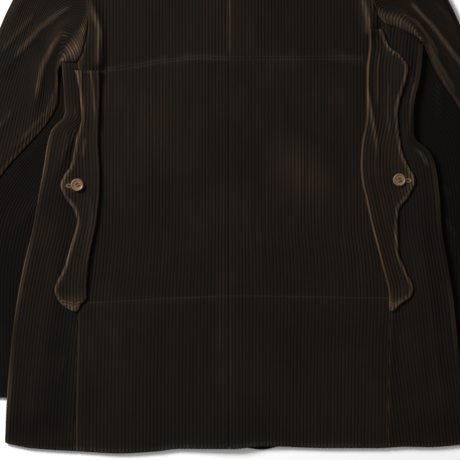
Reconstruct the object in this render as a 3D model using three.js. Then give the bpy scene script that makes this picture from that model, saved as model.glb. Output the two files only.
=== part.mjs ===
// Hunting jacket in wide-wale corduroy, laid flat on its front with the back up.
// Millimetres. The surface it lies on is z = 0, the collar points along +Y and the back faces +Z.
// In the tables "up" is the distance from the hem line towards the collar and "out" the distance from the
// centre back. The left side of the picture, which is also the wearer's left, is at negative x.
import * as THREE from "three";

// Driving sizes
const CLOTH = 2;
const SEAM_GAP = 0.3;
const SLEEVE_SEAM_GAP = 0.6;
const BACK_LENGTH = 800;
const SHOULDER = { out: 228, up: 757 };
const NECK_SIDE = { out: 85, up: 817 };
const FRONT_NECK_UP = 712;
const FRONT_OVERLAP = 26;
const CUFF_UP = 75;
const SLEEVE_TURN = 20;
const SEAM_BOW_BELOW_ARMPIT = 37;
const SEAM_BOW_LENGTH = 45;
const UNDERSIDE_SEAM_GAP = 2;
const BUTTON_RADIUS = 9.5;
const FLAP_THICKNESS = 3;
const COLLAR = { stand: 28, fall: 56, centreHeight: 5.3, standHalf: 1.5, fallHalf: 4.3 };
const FRONT_BUTTON_UPS = [255, 380, 505, 630];
const FLAP_BUTTON = { thickness: 3.2, foot: 0.9 };
const FRONT_BUTTON = { thickness: 2.2, foot: 0.4 };

// Heights of the layers' middles above the surface
const FLOOR_LAYER = CLOTH / 2;
const BACK_LEVEL = 6.9;
const BACK_CROWN = 2.7;
const HEM_DROP = 2.2;
const SLEEVE_LIFT = 5.4;
const BACK_SHARE_OF_LIFT = 0.75;
const UNDERLAP = CLOTH + 0.7;
const BUTTON_STRIP_LIFT = 2.9;
const COLLAR_LIFT = 2.6;
const UNDER_SLEEVE_LEVEL = FLOOR_LAYER + CLOTH + 0.6;
const SLEEVE_EDGE_LEVEL = 5.9;
const SLEEVE_LEVEL = 7.1;
const SHOULDER_STEP = CLOTH + 0.3;
const NECK_STEP = 0.7;
const FLAP_CLEARANCE = 0.9;
const FLAP_ROLL = 1.6;
const OUTLINE_BOTTOM = -8.5;

// Distances over which one height goes over into the next
const LIFT_ACROSS = { far: 45, near: 5 };
const LIFT_ABOVE_HEM = { from: 12, to: 62 };
const LIFT_ABOVE_ARMPIT = { from: 12, to: 70 };
const COLLAR_LIFT_FADE = { from: 8, to: 60 };
const BUTTON_STRIP = { halfWidth: 62, footFrom: 150, footTo: 225 };
const UNDERLAP_FADE = { from: 5, to: 30 };
const CROWN = { wide: 62, lowShare: 0.6, from: 120, to: 230, neckFade: 30 };
const HEM_DROP_UPS = 70;
const HEM_BEND_UPS = 150;
const TOP_EDGE_SLOPE = 34;
const SIDE_SETTLE = { lowFrom: 0.8, high: 0.3 };
const FLAP_ROLL_WIDE = 0.3;
const FLAP_ROLL_FOOT = { from: 215, to: 260 };

// The front's hem: how much shorter than the back's at the centre, and the stretch that hangs below it
const FRONT_HEM = { shorter: 3, to: 340, peek: 8, peekX: 50, peekWide: 24 };

// Shares of the sleeve's length and of its sections, over which the armhole's shape becomes the sleeve's
const ARMHOLE_BOW = { upper: 0.15, lower: 0.12, foldSide: 0.45, seamFrom: 0.15, seamTo: 0.5 };
const SLEEVE_SETTLE = { upper: 0.16, lower: 0.1 };
const FOLD_SPREAD = { power: 0.6, from: 0.03, to: 0.3 };
const SLEEVE_RIM = 0.12;
const RIM_OUTSIDE = 0.85;
const RIDGE_FADE = { foldSide: 0.1, outside: 0.8 };

// The under sleeve's tuck under the free fold, and how far below its top the tuck is cut away
const TUCK = 12;
const CUT_AWAY = { from: 30, to: 22, last: 10 };

// The collar's top is as far from the origin as the lowest point of the hem is.
const TOP = BACK_LENGTH + COLLAR.stand + (COLLAR.fallHalf - COLLAR.standHalf) / 2 + CLOTH / 2;
const MIDDLE_UP = (TOP + OUTLINE_BOTTOM) / 2;

// Hem line of the back from the left side to the right
const HEM = [
  { x: -336, up: 7 },
  { x: -298, up: -0.5 },
  { x: -223, up: -5.5 },
  { x: -165, up: OUTLINE_BOTTOM },
  { x: -111, up: -5.5 },
  { x: -73, up: -1.5 },
  { x: 6, up: -1.5 },
  { x: 49, up: 2.5 },
  { x: 151, up: -0.5 },
  { x: 226, up: -0.5 },
  { x: 264, up: 1.5 },
  { x: 301, up: 1 },
  { x: 339, up: 3.5 },
  { x: 360, up: 6 },
];

// One side of the jacket: the fold at the side of the body, the side-back seam, the armhole, the sleeve and
// the shaped flap over the opening of the game pocket.
const LEFT = {
  name: "left",
  sign: -1,
  body: [
    { up: 0, edge: 336, seam: 231 },
    { up: 72, edge: 332, seam: 230 },
    { up: 158, edge: 325, seam: 228 },
    { up: 226, edge: 316, seam: 226 },
    { up: 277, edge: 306, seam: 219 },
    { up: 331, edge: 293, seam: 214 },
    { up: 387, edge: 283, seam: 213 },
    { up: 425, edge: 276, seam: 212 },
    { up: 452, edge: 272, seam: 211 },
    { up: 477, edge: 265, seam: 210 },
    { up: 500, edge: 245, seam: 210 },
    { up: 540, edge: 247, seam: 217 },
    { up: 579, edge: 250, seam: 228 },
  ],
  seamTopUp: 577,
  backArmhole: [
    { share: 0, out: 228, up: 577 },
    { share: 0.12, out: 219, up: 592 },
    { share: 0.35, out: 212, up: 634 },
    { share: 0.6, out: 211, up: 680 },
    { share: 0.8, out: 216, up: 719 },
    { share: 1, out: SHOULDER.out, up: SHOULDER.up },
  ],
  frontArmhole: [
    { share: 0, out: 247.5, up: 579 },
    { share: 0.084, out: 222, up: 594 },
    { share: 0.253, out: 204, up: 624 },
    { share: 0.51, out: 198, up: 670 },
    { share: 0.764, out: 208, up: 715 },
    { share: 1, out: SHOULDER.out, up: SHOULDER.up },
  ],
  underSleeve: [
    { up: 75, fold: 391, inner: 284 },
    { up: 160, fold: 396, inner: 281 },
    { up: 250, fold: 395, inner: 276 },
    { up: 340, fold: 380, inner: 269 },
    { up: 407, fold: 344, inner: 262 },
    { up: 455, fold: 302, inner: 256 },
    { up: 487, fold: 274, inner: 248 },
    { up: 508, fold: 258, inner: 240 },
    { up: 546, fold: 257, inner: 239 },
    { up: 579, fold: 250, inner: 227.5 },
  ],
  topSleeve: [
    { share: 0, outerOut: 228, outerUp: 757, foldOut: 250, foldUp: 579, seamUp: 579 },
    { share: 0.06, outerOut: 264, outerUp: 742, foldOut: 256.5, foldUp: 563, seamUp: 566 },
    { share: 0.14, outerOut: 304, outerUp: 705, foldOut: 257, foldUp: 541, seamUp: 549 },
    { share: 0.22, outerOut: 330, outerUp: 661, foldOut: 257, foldUp: 522, seamUp: 530 },
    { share: 0.32, outerOut: 358, outerUp: 594, foldOut: 273, foldUp: 488, seamUp: 496 },
    { share: 0.44, outerOut: 390, outerUp: 510, foldOut: 302, foldUp: 455, seamUp: 452 },
    { share: 0.56, outerOut: 414, outerUp: 428, foldOut: 344, foldUp: 407, seamUp: 396 },
    { share: 0.68, outerOut: 431, outerUp: 340, foldOut: 382, foldUp: 334, seamUp: 323 },
    { share: 0.8, outerOut: 440, outerUp: 240, foldOut: 396, foldUp: 240, seamUp: 238 },
    { share: 0.9, outerOut: 440, outerUp: 156, foldOut: 396, foldUp: 156, seamUp: 156 },
    { share: 1, outerOut: 436, outerUp: CUFF_UP, foldOut: 391, foldUp: CUFF_UP, seamUp: CUFF_UP },
  ],
  flap: [
    { up: 205, inner: 227, outer: 236 },
    { up: 214, inner: 223, outer: 249 },
    { up: 225, inner: 213, outer: 258 },
    { up: 237, inner: 213, outer: 261 },
    { up: 270, inner: 211, outer: 247.5 },
    { up: 316, inner: 203, outer: 234 },
    { up: 340, inner: 198, outer: 228 },
    { up: 360, inner: 196, outer: 234 },
    { up: 378, inner: 194, outer: 247 },
    { up: 394.5, inner: 193.5, outer: 252 },
    { up: 408, inner: 193.5, outer: 247.5 },
    { up: 424, inner: 194, outer: 237 },
    { up: 462, inner: 196, outer: 229.5 },
    { up: 496, inner: 194.5, outer: 221 },
    { up: 552, inner: 193.5, outer: 227 },
    { up: 566, inner: 194, outer: 231 },
  ],
  button: { out: 227, up: 394.5 },
  seamBow: 5,
  underSleeveTopUp: 575,
};

const RIGHT = {
  name: "right",
  sign: 1,
  body: [
    { up: 0, edge: 360, seam: 238 },
    { up: 75, edge: 352, seam: 239 },
    { up: 144, edge: 343.5, seam: 240 },
    { up: 226, edge: 335, seam: 243 },
    { up: 277, edge: 327, seam: 240 },
    { up: 331, edge: 318, seam: 232 },
    { up: 375, edge: 315, seam: 231 },
    { up: 402, edge: 312, seam: 231 },
    { up: 428, edge: 307.5, seam: 230 },
    { up: 447, edge: 298.5, seam: 229 },
    { up: 466, edge: 277, seam: 229 },
    { up: 507, edge: 276, seam: 230 },
    { up: 562, edge: 286.5, seam: 237 },
    { up: 607, edge: 291, seam: 233 },
  ],
  seamTopUp: 637,
  backArmhole: [
    { share: 0, out: 233, up: 637 },
    { share: 0.12, out: 222, up: 651 },
    { share: 0.25, out: 217.5, up: 667 },
    { share: 0.5, out: 217, up: 697 },
    { share: 0.75, out: 220, up: 727 },
    { share: 1, out: SHOULDER.out, up: SHOULDER.up },
  ],
  frontArmhole: [
    { share: 0, out: 288, up: 607 },
    { share: 0.07, out: 250, up: 617 },
    { share: 0.22, out: 219, up: 640 },
    { share: 0.44, out: 206, up: 673 },
    { share: 0.73, out: 209, up: 716 },
    { share: 1, out: SHOULDER.out, up: SHOULDER.up },
  ],
  underSleeve: [
    { up: 75, fold: 391, inner: 300 },
    { up: 160, fold: 396, inner: 299 },
    { up: 250, fold: 396, inner: 297 },
    { up: 322, fold: 394, inner: 294 },
    { up: 385, fold: 388, inner: 290 },
    { up: 445, fold: 378, inner: 284 },
    { up: 510, fold: 346, inner: 272 },
    { up: 546, fold: 322, inner: 272 },
    { up: 607, fold: 291, inner: 268 },
  ],
  topSleeve: [
    { share: 0, outerOut: 228, outerUp: 757, foldOut: 291, foldUp: 607, seamUp: 607 },
    { share: 0.06, outerOut: 264, outerUp: 743, foldOut: 299, foldUp: 590, seamUp: 588 },
    { share: 0.14, outerOut: 306, outerUp: 708, foldOut: 311, foldUp: 565, seamUp: 562 },
    { share: 0.22, outerOut: 333, outerUp: 664, foldOut: 326.5, foldUp: 540, seamUp: 536 },
    { share: 0.32, outerOut: 361, outerUp: 598, foldOut: 346.5, foldUp: 510, seamUp: 500 },
    { share: 0.44, outerOut: 392, outerUp: 514, foldOut: 372, foldUp: 460, seamUp: 455 },
    { share: 0.56, outerOut: 416, outerUp: 430, foldOut: 384, foldUp: 405, seamUp: 398 },
    { share: 0.68, outerOut: 432, outerUp: 340, foldOut: 393, foldUp: 330, seamUp: 323 },
    { share: 0.8, outerOut: 440, outerUp: 240, foldOut: 396, foldUp: 240, seamUp: 238 },
    { share: 0.9, outerOut: 440, outerUp: 156, foldOut: 396, foldUp: 156, seamUp: 156 },
    { share: 1, outerOut: 436, outerUp: CUFF_UP, foldOut: 391, foldUp: CUFF_UP, seamUp: CUFF_UP },
  ],
  flap: [
    { up: 205, inner: 241, outer: 247 },
    { up: 215, inner: 240, outer: 256 },
    { up: 229, inner: 240, outer: 274 },
    { up: 240, inner: 238, outer: 276 },
    { up: 266, inner: 231, outer: 265 },
    { up: 297, inner: 223, outer: 254 },
    { up: 335, inner: 213, outer: 253 },
    { up: 358, inner: 208, outer: 255 },
    { up: 377, inner: 204, outer: 269 },
    { up: 402, inner: 198.5, outer: 279 },
    { up: 424, inner: 197, outer: 268 },
    { up: 450, inner: 198, outer: 258.5 },
    { up: 502, inner: 206, outer: 253 },
    { up: 570, inner: 206, outer: 268 },
    { up: 586, inner: 208, outer: 260 },
    { up: 603, inner: 210, outer: 240 },
    { up: 628, inner: 209, outer: 230 },
  ],
  button: { out: 255, up: 402 },
  seamBow: 11.5,
  underSleeveTopUp: 602,
};

// Soft ridges that the cloth lies in: above each flap, and across each sleeve from the armhole.
// "wide" is the distance in which a ridge falls to about a third.
const BACK_RIDGES = [
  { x0: -194, up0: 590, x1: -208, up1: 672, high: 2.4, wide: 13 },
  { x0: 209, up0: 640, x1: 198, up1: 684, high: 2.6, wide: 13 },
];
const SLEEVE_RIDGES = [
  { x0: -236, up0: 720, x1: -318, up1: 668, high: 1.8, wide: 15 },
  { x0: -240, up0: 672, x1: -345, up1: 590, high: 2.8, wide: 15 },
  { x0: -252, up0: 632, x1: -338, up1: 540, high: 3.2, wide: 14 },
  { x0: -258, up0: 590, x1: -312, up1: 496, high: 2.6, wide: 13 },
  { x0: -330, up0: 520, x1: -372, up1: 440, high: 2.2, wide: 15 },
  { x0: 244, up0: 716, x1: 322, up1: 664, high: 1.8, wide: 15 },
  { x0: 254, up0: 674, x1: 350, up1: 592, high: 3, wide: 15 },
  { x0: 282, up0: 650, x1: 366, up1: 540, high: 3, wide: 14 },
  { x0: 306, up0: 606, x1: 372, up1: 512, high: 2.4, wide: 13 },
  { x0: 374, up0: 520, x1: 396, up1: 430, high: 2, wide: 14 },
];

// Steps of the meshes: shares of the way from the first edge of a piece to the last
const NECK_COLUMNS = [0, 0.3, 0.6, 0.83, 1].map((share) => (share * NECK_SIDE.out) / SHOULDER.out);
const BACK_COLUMNS = [...NECK_COLUMNS, 0.52, 0.66, 0.78, 0.87, 0.94, 1];
const FRONT_STRIP = [-FRONT_OVERLAP, 0, FRONT_OVERLAP, 50, 68, 79];
const FRONT_COLUMNS = [0.12, 0.34, 0.56, 0.76, 0.9, 1];
const CHEST_COLUMNS = [0, 0.2, 0.4, 0.6, 0.8, 1];
const WRAP_COLUMNS = [0, 0.22, 0.5, 0.78, 1];
const UNDER_SLEEVE_COLUMNS = [0, 0.3, 0.6, 0.85, 1];
const FLAP_COLUMNS = [0, 0.15, 0.35, 0.6, 0.8, 1];
const LONGEST_FLAP_STEP = 30;
const ARMHOLE_STEPS = [0, 0.12, 0.27, 0.44, 0.6, 0.75, 0.87, 1];
const CHEST_STEPS = [0, 0.05, 0.12, 0.22, 0.36, 0.55, 0.78, 0.93, 1];
const FOLD_ANGLES = [-60, -20, 20, 60];
const WRAP_RISE_UPS = 130;
const LOWER_POINTS = FRONT_STRIP.length + FRONT_COLUMNS.length;
const BODY_UPS = [0, 36, 75, 112, 150, 188, 226, 277, 331, 375, 405, 428, 450, 470, 500, 540];

const radians = (degrees) => (degrees * Math.PI) / 180;
const mix = (a, b, t) => a + (b - a) * t;

// 0 below "from", 1 above "to" and smooth between them
function ramp(value, from, to) {
  const t = Math.min(1, Math.max(0, (value - from) / (to - from)));
  return t * t * (3 - 2 * t);
}

// The value of a column of a table at a place along its key, on a smooth curve that never overshoots a row
function along(rows, key, column, at) {
  if (at <= rows[0][key]) return rows[0][column];
  const last = rows.length - 1;
  if (at >= rows[last][key]) return rows[last][column];
  let i = 0;
  while (rows[i + 1][key] < at) i += 1;
  const slope = (k) => (rows[k + 1][column] - rows[k][column]) / (rows[k + 1][key] - rows[k][key]);
  const tangent = (k) => {
    if (k === 0) return slope(0);
    if (k === last) return slope(last - 1);
    const [before, after] = [slope(k - 1), slope(k)];
    return before * after <= 0 ? 0 : (2 * before * after) / (before + after);
  };
  const span = rows[i + 1][key] - rows[i][key];
  const t = (at - rows[i][key]) / span;
  const [a, b] = [rows[i][column], rows[i + 1][column]];
  return (
    a * (1 + 2 * t) * (1 - t) ** 2 +
    span * tangent(i) * t * (1 - t) ** 2 +
    b * t * t * (3 - 2 * t) -
    span * tangent(i + 1) * t * t * (1 - t)
  );
}

// Distance from a point to a line between two points, in plan
function distanceToLine(x, up, line) {
  const [dx, dy] = [line.x1 - line.x0, line.up1 - line.up0];
  const t = Math.min(1, Math.max(0, ((x - line.x0) * dx + (up - line.up0) * dy) / (dx * dx + dy * dy)));
  return Math.hypot(x - line.x0 - t * dx, up - line.up0 - t * dy);
}

const ridges = (list, x, up) =>
  list.reduce((sum, r) => sum + r.high * Math.exp(-((distanceToLine(x, up, r) / r.wide) ** 2)), 0);

const sideOf = (x) => (x < 0 ? LEFT : RIGHT);
const armpitUp = (side) => side.body[side.body.length - 1].up;

// Neck seam of the front, from the centre to the side of the neck, a quarter of an ellipse
const frontNeckUp = (out) =>
  NECK_SIDE.up - (NECK_SIDE.up - FRONT_NECK_UP) * Math.sqrt(Math.max(0, 1 - (out / NECK_SIDE.out) ** 2));

// The same seam as a share of the quarter's angle
function frontNeck(share) {
  const out = NECK_SIDE.out * Math.sin(radians(90 * share));
  return { out, up: frontNeckUp(out) };
}

// Neck seam of the back, a shallow curve from the nape to the side of the neck
const backNeckUp = (out) => BACK_LENGTH + (NECK_SIDE.up - BACK_LENGTH) * (out / NECK_SIDE.out) ** 2;

// Top edge of a back panel: the neck and then the shoulder seam
function backTopUp(out) {
  if (out < NECK_SIDE.out) return backNeckUp(out);
  return mix(NECK_SIDE.up, SHOULDER.up, (out - NECK_SIDE.out) / (SHOULDER.out - NECK_SIDE.out));
}

// How far the sleeve under the side of the body raises the body
function sleeveLift(x, up) {
  const side = sideOf(x);
  const inner = along(side.underSleeve, "up", "inner", up);
  const top = armpitUp(side);
  const across = ramp(Math.abs(x), inner - LIFT_ACROSS.far, inner - LIFT_ACROSS.near);
  const above = ramp(up, top + LIFT_ABOVE_ARMPIT.from, top + LIFT_ABOVE_ARMPIT.to);
  return SLEEVE_LIFT * across * ramp(up, LIFT_ABOVE_HEM.from, LIFT_ABOVE_HEM.to) * (1 - above);
}

// How far the collar's fall, which lies under the fronts, raises them
function collarLift(x, up) {
  let nearest = Infinity;
  for (let share = 0; share <= 1; share += 0.1) {
    const seam = frontNeck(share);
    nearest = Math.min(nearest, Math.hypot(Math.abs(x) - seam.out, up - seam.up));
  }
  const beyond = nearest - COLLAR.fall;
  return COLLAR_LIFT * (1 - ramp(beyond, COLLAR_LIFT_FADE.from, COLLAR_LIFT_FADE.to));
}

function buttonStripLift(x, up) {
  const across = 1 - ramp(Math.abs(x), FRONT_OVERLAP + 2, BUTTON_STRIP.halfWidth);
  return BUTTON_STRIP_LIFT * across * ramp(up, BUTTON_STRIP.footFrom, BUTTON_STRIP.footTo);
}

// Middle of the front's cloth above the surface. The left front is the outer one, so it lies lowest.
function frontHeight(x, up, side) {
  const under = Math.max(collarLift(x, up), buttonStripLift(x, up));
  const overlap = 1 - ramp(x, FRONT_OVERLAP + UNDERLAP_FADE.from, FRONT_OVERLAP + UNDERLAP_FADE.to);
  const lapped = side === RIGHT ? UNDERLAP * overlap : 0;
  return FLOOR_LAYER + sleeveLift(x, up) + under + lapped;
}

// Middle of the upper cloth: the back panels and the part of each front that wraps round the side
function backHeight(x, up) {
  const out = Math.abs(x);
  const centre = Math.exp(-((x / CROWN.wide) ** 2));
  const low = 1 - CROWN.lowShare * (1 - ramp(up, CROWN.from, CROWN.to));
  const crown = BACK_CROWN * centre * low * (1 - ramp(up, FRONT_NECK_UP, FRONT_NECK_UP + CROWN.neckFade));
  const hem = HEM_DROP * (1 - centre) * (1 - ramp(up, 0, HEM_DROP_UPS));
  const lift = BACK_SHARE_OF_LIFT * sleeveLift(x, up);
  const body = BACK_LEVEL + crown - hem + lift + ridges(BACK_RIDGES, x, up);
  const step = out < NECK_SIDE.out ? NECK_STEP * (1 - out / NECK_SIDE.out) : 0;
  const edge = frontHeight(x, up, LEFT) + SHOULDER_STEP + step;
  return mix(edge, body, ramp(backTopUp(out) - up, 0, TOP_EDGE_SLOPE));
}

const hemUp = (x) => along(HEM, "x", "up", x);

// The front's hem is a little shorter than the back's, apart from where it shows below it
function frontHemUp(x) {
  const peek = Math.exp(-(((x - FRONT_HEM.peekX) / FRONT_HEM.peekWide) ** 2));
  return hemUp(x) + FRONT_HEM.shorter * (1 - Math.abs(x) / FRONT_HEM.to) - FRONT_HEM.peek * peek;
}

// Up of the points of one row, bent to the hem at the bottom
const bend = (up, hem) => up + hem * (1 - ramp(up, 0, HEM_BEND_UPS));

// Adds the armhole's slope, between the side fold and the seam, to the rows below it
const seamUp = (side, up) =>
  up + (side.seamTopUp - armpitUp(side)) * ramp(up, armpitUp(side) - WRAP_RISE_UPS, armpitUp(side));

const bodyUps = (side) => [...BODY_UPS, armpitUp(side)];

// A list with the value half way between each two of its own put between them
const withMiddles = (list) =>
  list.flatMap((value, i) => (i ? [mix(list[i - 1], value, 0.5), value] : [value]));

const point = (x, up, z, normal) => ({ at: [x, up, z], normal });
const UPWARDS = [0, 0, 1];
const DOWNWARDS = [0, 0, -1];

// Volume inside a mesh, below zero where its faces point inwards
function volume(positions, index) {
  const corner = (i) => new THREE.Vector3(...positions.slice(3 * index[i], 3 * index[i] + 3));
  let sum = 0;
  for (let i = 0; i < index.length; i += 3) sum += corner(i).dot(corner(i + 1).cross(corner(i + 2))) / 6;
  return sum;
}

// How well the two halves of a four-sided cell face one way, 1 at best, where it is split from p to r
function flatness([p, q, r, s]) {
  const edge = (from, to) => new THREE.Vector3(...to).sub(new THREE.Vector3(...from));
  const half = edge(p, q).cross(edge(p, r)).normalize();
  return half.dot(edge(p, r).cross(edge(p, s)).normalize());
}

// A wall of cloth from rows of points on its middle, each moved both ways along its own normal.
// A missing point leaves its cells out.
function wall(rows, thickness) {
  const positions = [];
  const outer = [];
  const inner = [];
  const put = (p, distance) => {
    positions.push(...p.at.map((value, i) => value + p.normal[i] * distance));
    return positions.length / 3 - 1;
  };
  rows.forEach((row) => {
    outer.push(row.map((p) => (p ? put(p, thickness / 2) : null)));
    inner.push(row.map((p) => (p ? put(p, -thickness / 2) : null)));
  });
  const cells = [];
  for (let i = 0; i + 1 < rows.length; i += 1)
    for (let j = 0; j + 1 < rows[i].length; j += 1) {
      const corners = [[i, j], [i, j + 1], [i + 1, j + 1], [i + 1, j]];
      if (corners.every(([r, c]) => rows[r][c])) cells.push(corners);
    }
  const face = (corners, from) => corners.map(([r, c]) => from[r][c]);
  const index = [];
  const quad = ([p, q, r, s]) => index.push(p, q, r, p, r, s);
  const turned = ([p, q, r, s]) => [q, r, s, p];
  const edges = new Map();
  cells.forEach((corners) => {
    const places = corners.map(([r, c]) => rows[r][c].at);
    const ring = flatness(turned(places)) > flatness(places) ? turned(corners) : corners;
    quad(face(ring, outer));
    const [p, q, r, s] = face(ring, inner);
    quad([p, s, r, q]);
    corners.forEach((corner, k) => {
      const next = corners[(k + 1) % 4];
      const back = `${next}|${corner}`;
      if (edges.has(back)) edges.delete(back);
      else edges.set(`${corner}|${next}`, [corner, next]);
    });
  });
  edges.forEach(([from, to]) => {
    quad([outer[to[0]][to[1]], outer[from[0]][from[1]], inner[from[0]][from[1]], inner[to[0]][to[1]]]);
  });
  const geometry = new THREE.BufferGeometry();
  geometry.setAttribute("position", new THREE.Float32BufferAttribute(positions, 3));
  geometry.setIndex(volume(positions, index) < 0 ? index.reverse() : index);
  geometry.computeVertexNormals();
  return geometry;
}

// Points round a fold at the side, from the lower layer to the upper one
function fold(edgeX, sign, up, low, high) {
  const radius = (high - low) / 2;
  return FOLD_ANGLES.map((degrees) => {
    const angle = radians(degrees);
    const reach = radius * (1 - Math.cos(angle));
    const normal = [sign * Math.cos(angle), 0, Math.sin(angle)];
    return point(edgeX - sign * reach, up, (low + high) / 2 + radius * Math.sin(angle), normal);
  });
}

function backPanel(side) {
  const rows = bodyUps(side).map((up) => ({
    out: along(side.body, "up", "seam", up),
    up: seamUp(side, up),
  }));
  ARMHOLE_STEPS.slice(1).forEach((share) =>
    rows.push({
      out: along(side.backArmhole, "share", "out", share),
      up: along(side.backArmhole, "share", "up", share),
    }),
  );
  return rows.map((row) =>
    BACK_COLUMNS.map((share) => {
      const out = mix(SEAM_GAP / 2, row.out - SEAM_GAP / 2, share);
      const x = side.sign * out;
      const rise = backTopUp((out / row.out) * SHOULDER.out) - SHOULDER.up;
      const up = bend(row.up, hemUp(x)) + rise * (row.up / SHOULDER.up) ** 4;
      return point(x, up, backHeight(x, up), UPWARDS);
    }),
  );
}

function frontPanel(side) {
  const { sign } = side;
  const rows = bodyUps(side).map((nominal) => {
    const edge = sign * along(side.body, "up", "edge", nominal);
    const seam = sign * (along(side.body, "up", "seam", nominal) + SEAM_GAP / 2);
    const edgeUp = bend(nominal, hemUp(edge));
    const low = frontHeight(edge, edgeUp, side);
    const high = backHeight(edge, edgeUp);
    const turn = edge - (sign * (high - low)) / 2;
    const strip = sign * FRONT_STRIP[FRONT_STRIP.length - 1];
    const xs = [...FRONT_STRIP.map((out) => sign * out), ...FRONT_COLUMNS.map((t) => mix(strip, turn, t))];
    const lower = xs.map((x) => {
      const share = Math.max(0, (x * sign) / (turn * sign));
      const up = bend(nominal, mix(frontHemUp(x), hemUp(x), share ** 3));
      const height = mix(frontHeight(x, up, side), low, ramp(share, SIDE_SETTLE.lowFrom, 1));
      return point(x, up, height, DOWNWARDS);
    });
    const upper = WRAP_COLUMNS.map((share) => {
      const x = mix(turn, seam, share);
      const rise = (seamUp(side, nominal) - nominal) * share ** 0.7;
      const up = bend(nominal, hemUp(x)) + rise;
      return point(x, up, mix(high, backHeight(x, up), ramp(share, 0, SIDE_SETTLE.high)), UPWARDS);
    });
    return [...lower, ...fold(edge, sign, edgeUp, low, high), ...upper];
  });
  // Above the armpit only the chest goes on, between the front edge and the armhole.
  const base = rows[rows.length - 1];
  const missing = base.slice(LOWER_POINTS).map(() => null);
  const neckOuts = FRONT_STRIP.map((out) => ({ x: out, up: frontNeckUp(out) }));
  const shoulder = CHEST_COLUMNS.map((t) => ({
    x: mix(NECK_SIDE.out, SHOULDER.out, t),
    up: mix(NECK_SIDE.up, SHOULDER.up, t),
  }));
  const top = [...neckOuts, ...shoulder];
  CHEST_STEPS.slice(1).forEach((share) => {
    const armhole = {
      out: along(side.frontArmhole, "share", "out", share) - SEAM_GAP,
      up: along(side.frontArmhole, "share", "up", share),
    };
    const chest = top.map((end, j) => {
      const column = Math.max(0, end.x / SHOULDER.out);
      const [baseX, baseUp] = base[j].at;
      const last = base[LOWER_POINTS - 1].at;
      const straightX = mix(last[0], sign * SHOULDER.out, share);
      const straightUp = mix(last[1], SHOULDER.up, share);
      const x = mix(baseX, sign * end.x, share) + (sign * armhole.out - straightX) * column ** 3;
      const up = mix(baseUp, end.up, share) + (armhole.up - straightUp) * column ** 3;
      const height = mix(base[j].at[2], frontHeight(x, up, side), ramp(share, 0, SIDE_SETTLE.high));
      return point(x, up, height, DOWNWARDS);
    });
    rows.push([...chest, ...missing]);
  });
  return rows;
}

// A chain of points along the armhole, moved away from the body by the gap of a seam
function clearOfBody(chain, sign, turn) {
  return chain.map((p, i) => {
    const before = chain[Math.max(0, i - 1)].at;
    const after = chain[Math.min(chain.length - 1, i + 1)].at;
    const [dx, dUp] = [after[0] - before[0], after[1] - before[1]];
    const scale = (turn * sign * SLEEVE_SEAM_GAP) / Math.hypot(dx, dUp);
    return point(p.at[0] + dUp * scale, p.at[1] - dx * scale, p.at[2], p.normal);
  });
}

// The armhole as the sleeve meets it: from the armpit over the side-back seam to the shoulder on the upper
// layer, and from the shoulder to the armpit on the lower one
function armhole(side) {
  const { sign } = side;
  const body = frontPanel(side);
  const armpitRow = body[bodyUps(side).length - 1];
  const wrap = armpitRow.slice(LOWER_POINTS + FOLD_ANGLES.length);
  const back = backPanel(side);
  const backEdge = back.slice(bodyUps(side).length).map((row) => row[row.length - 1]);
  const chest = body.slice(bodyUps(side).length - 1).map((row) => row[LOWER_POINTS - 1]);
  const upper = clearOfBody([...wrap, ...backEdge], sign, 1);
  const lower = clearOfBody(chest.reverse(), sign, -1);
  // At the armpit both stay outside the fold at the side of the body.
  const edge = side.body[side.body.length - 1].edge;
  const armpit = [sign * (edge + SLEEVE_SEAM_GAP), armpitUp(side) + SLEEVE_SEAM_GAP];
  [upper[0], lower[lower.length - 1]].forEach((p) => p.at.splice(0, 2, ...armpit));
  const shoulder = [sign * (SHOULDER.out + SLEEVE_SEAM_GAP), SHOULDER.up];
  [upper[upper.length - 1], lower[0]].forEach((p) => p.at.splice(0, 2, ...shoulder));
  return { upper, lower };
}

// The sleeve's seam on the underside, which bows out a little beside the armpit
function lowerSeamOut(side, up) {
  const bow = Math.exp(-(((up - armpitUp(side) + SEAM_BOW_BELOW_ARMPIT) / SEAM_BOW_LENGTH) ** 2));
  return along(side.underSleeve, "up", "inner", up) + SLEEVE_TURN + side.seamBow * bow;
}

// Shares of the length of a chain of points
function shares(points) {
  const lengths = points.map((p, i) =>
    i ? Math.hypot(p.at[0] - points[i - 1].at[0], p.at[1] - points[i - 1].at[1]) : 0,
  );
  const total = lengths.reduce((sum, length) => sum + length, 0);
  let run = 0;
  return lengths.map((length) => {
    run += length;
    return run / total;
  });
}

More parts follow.
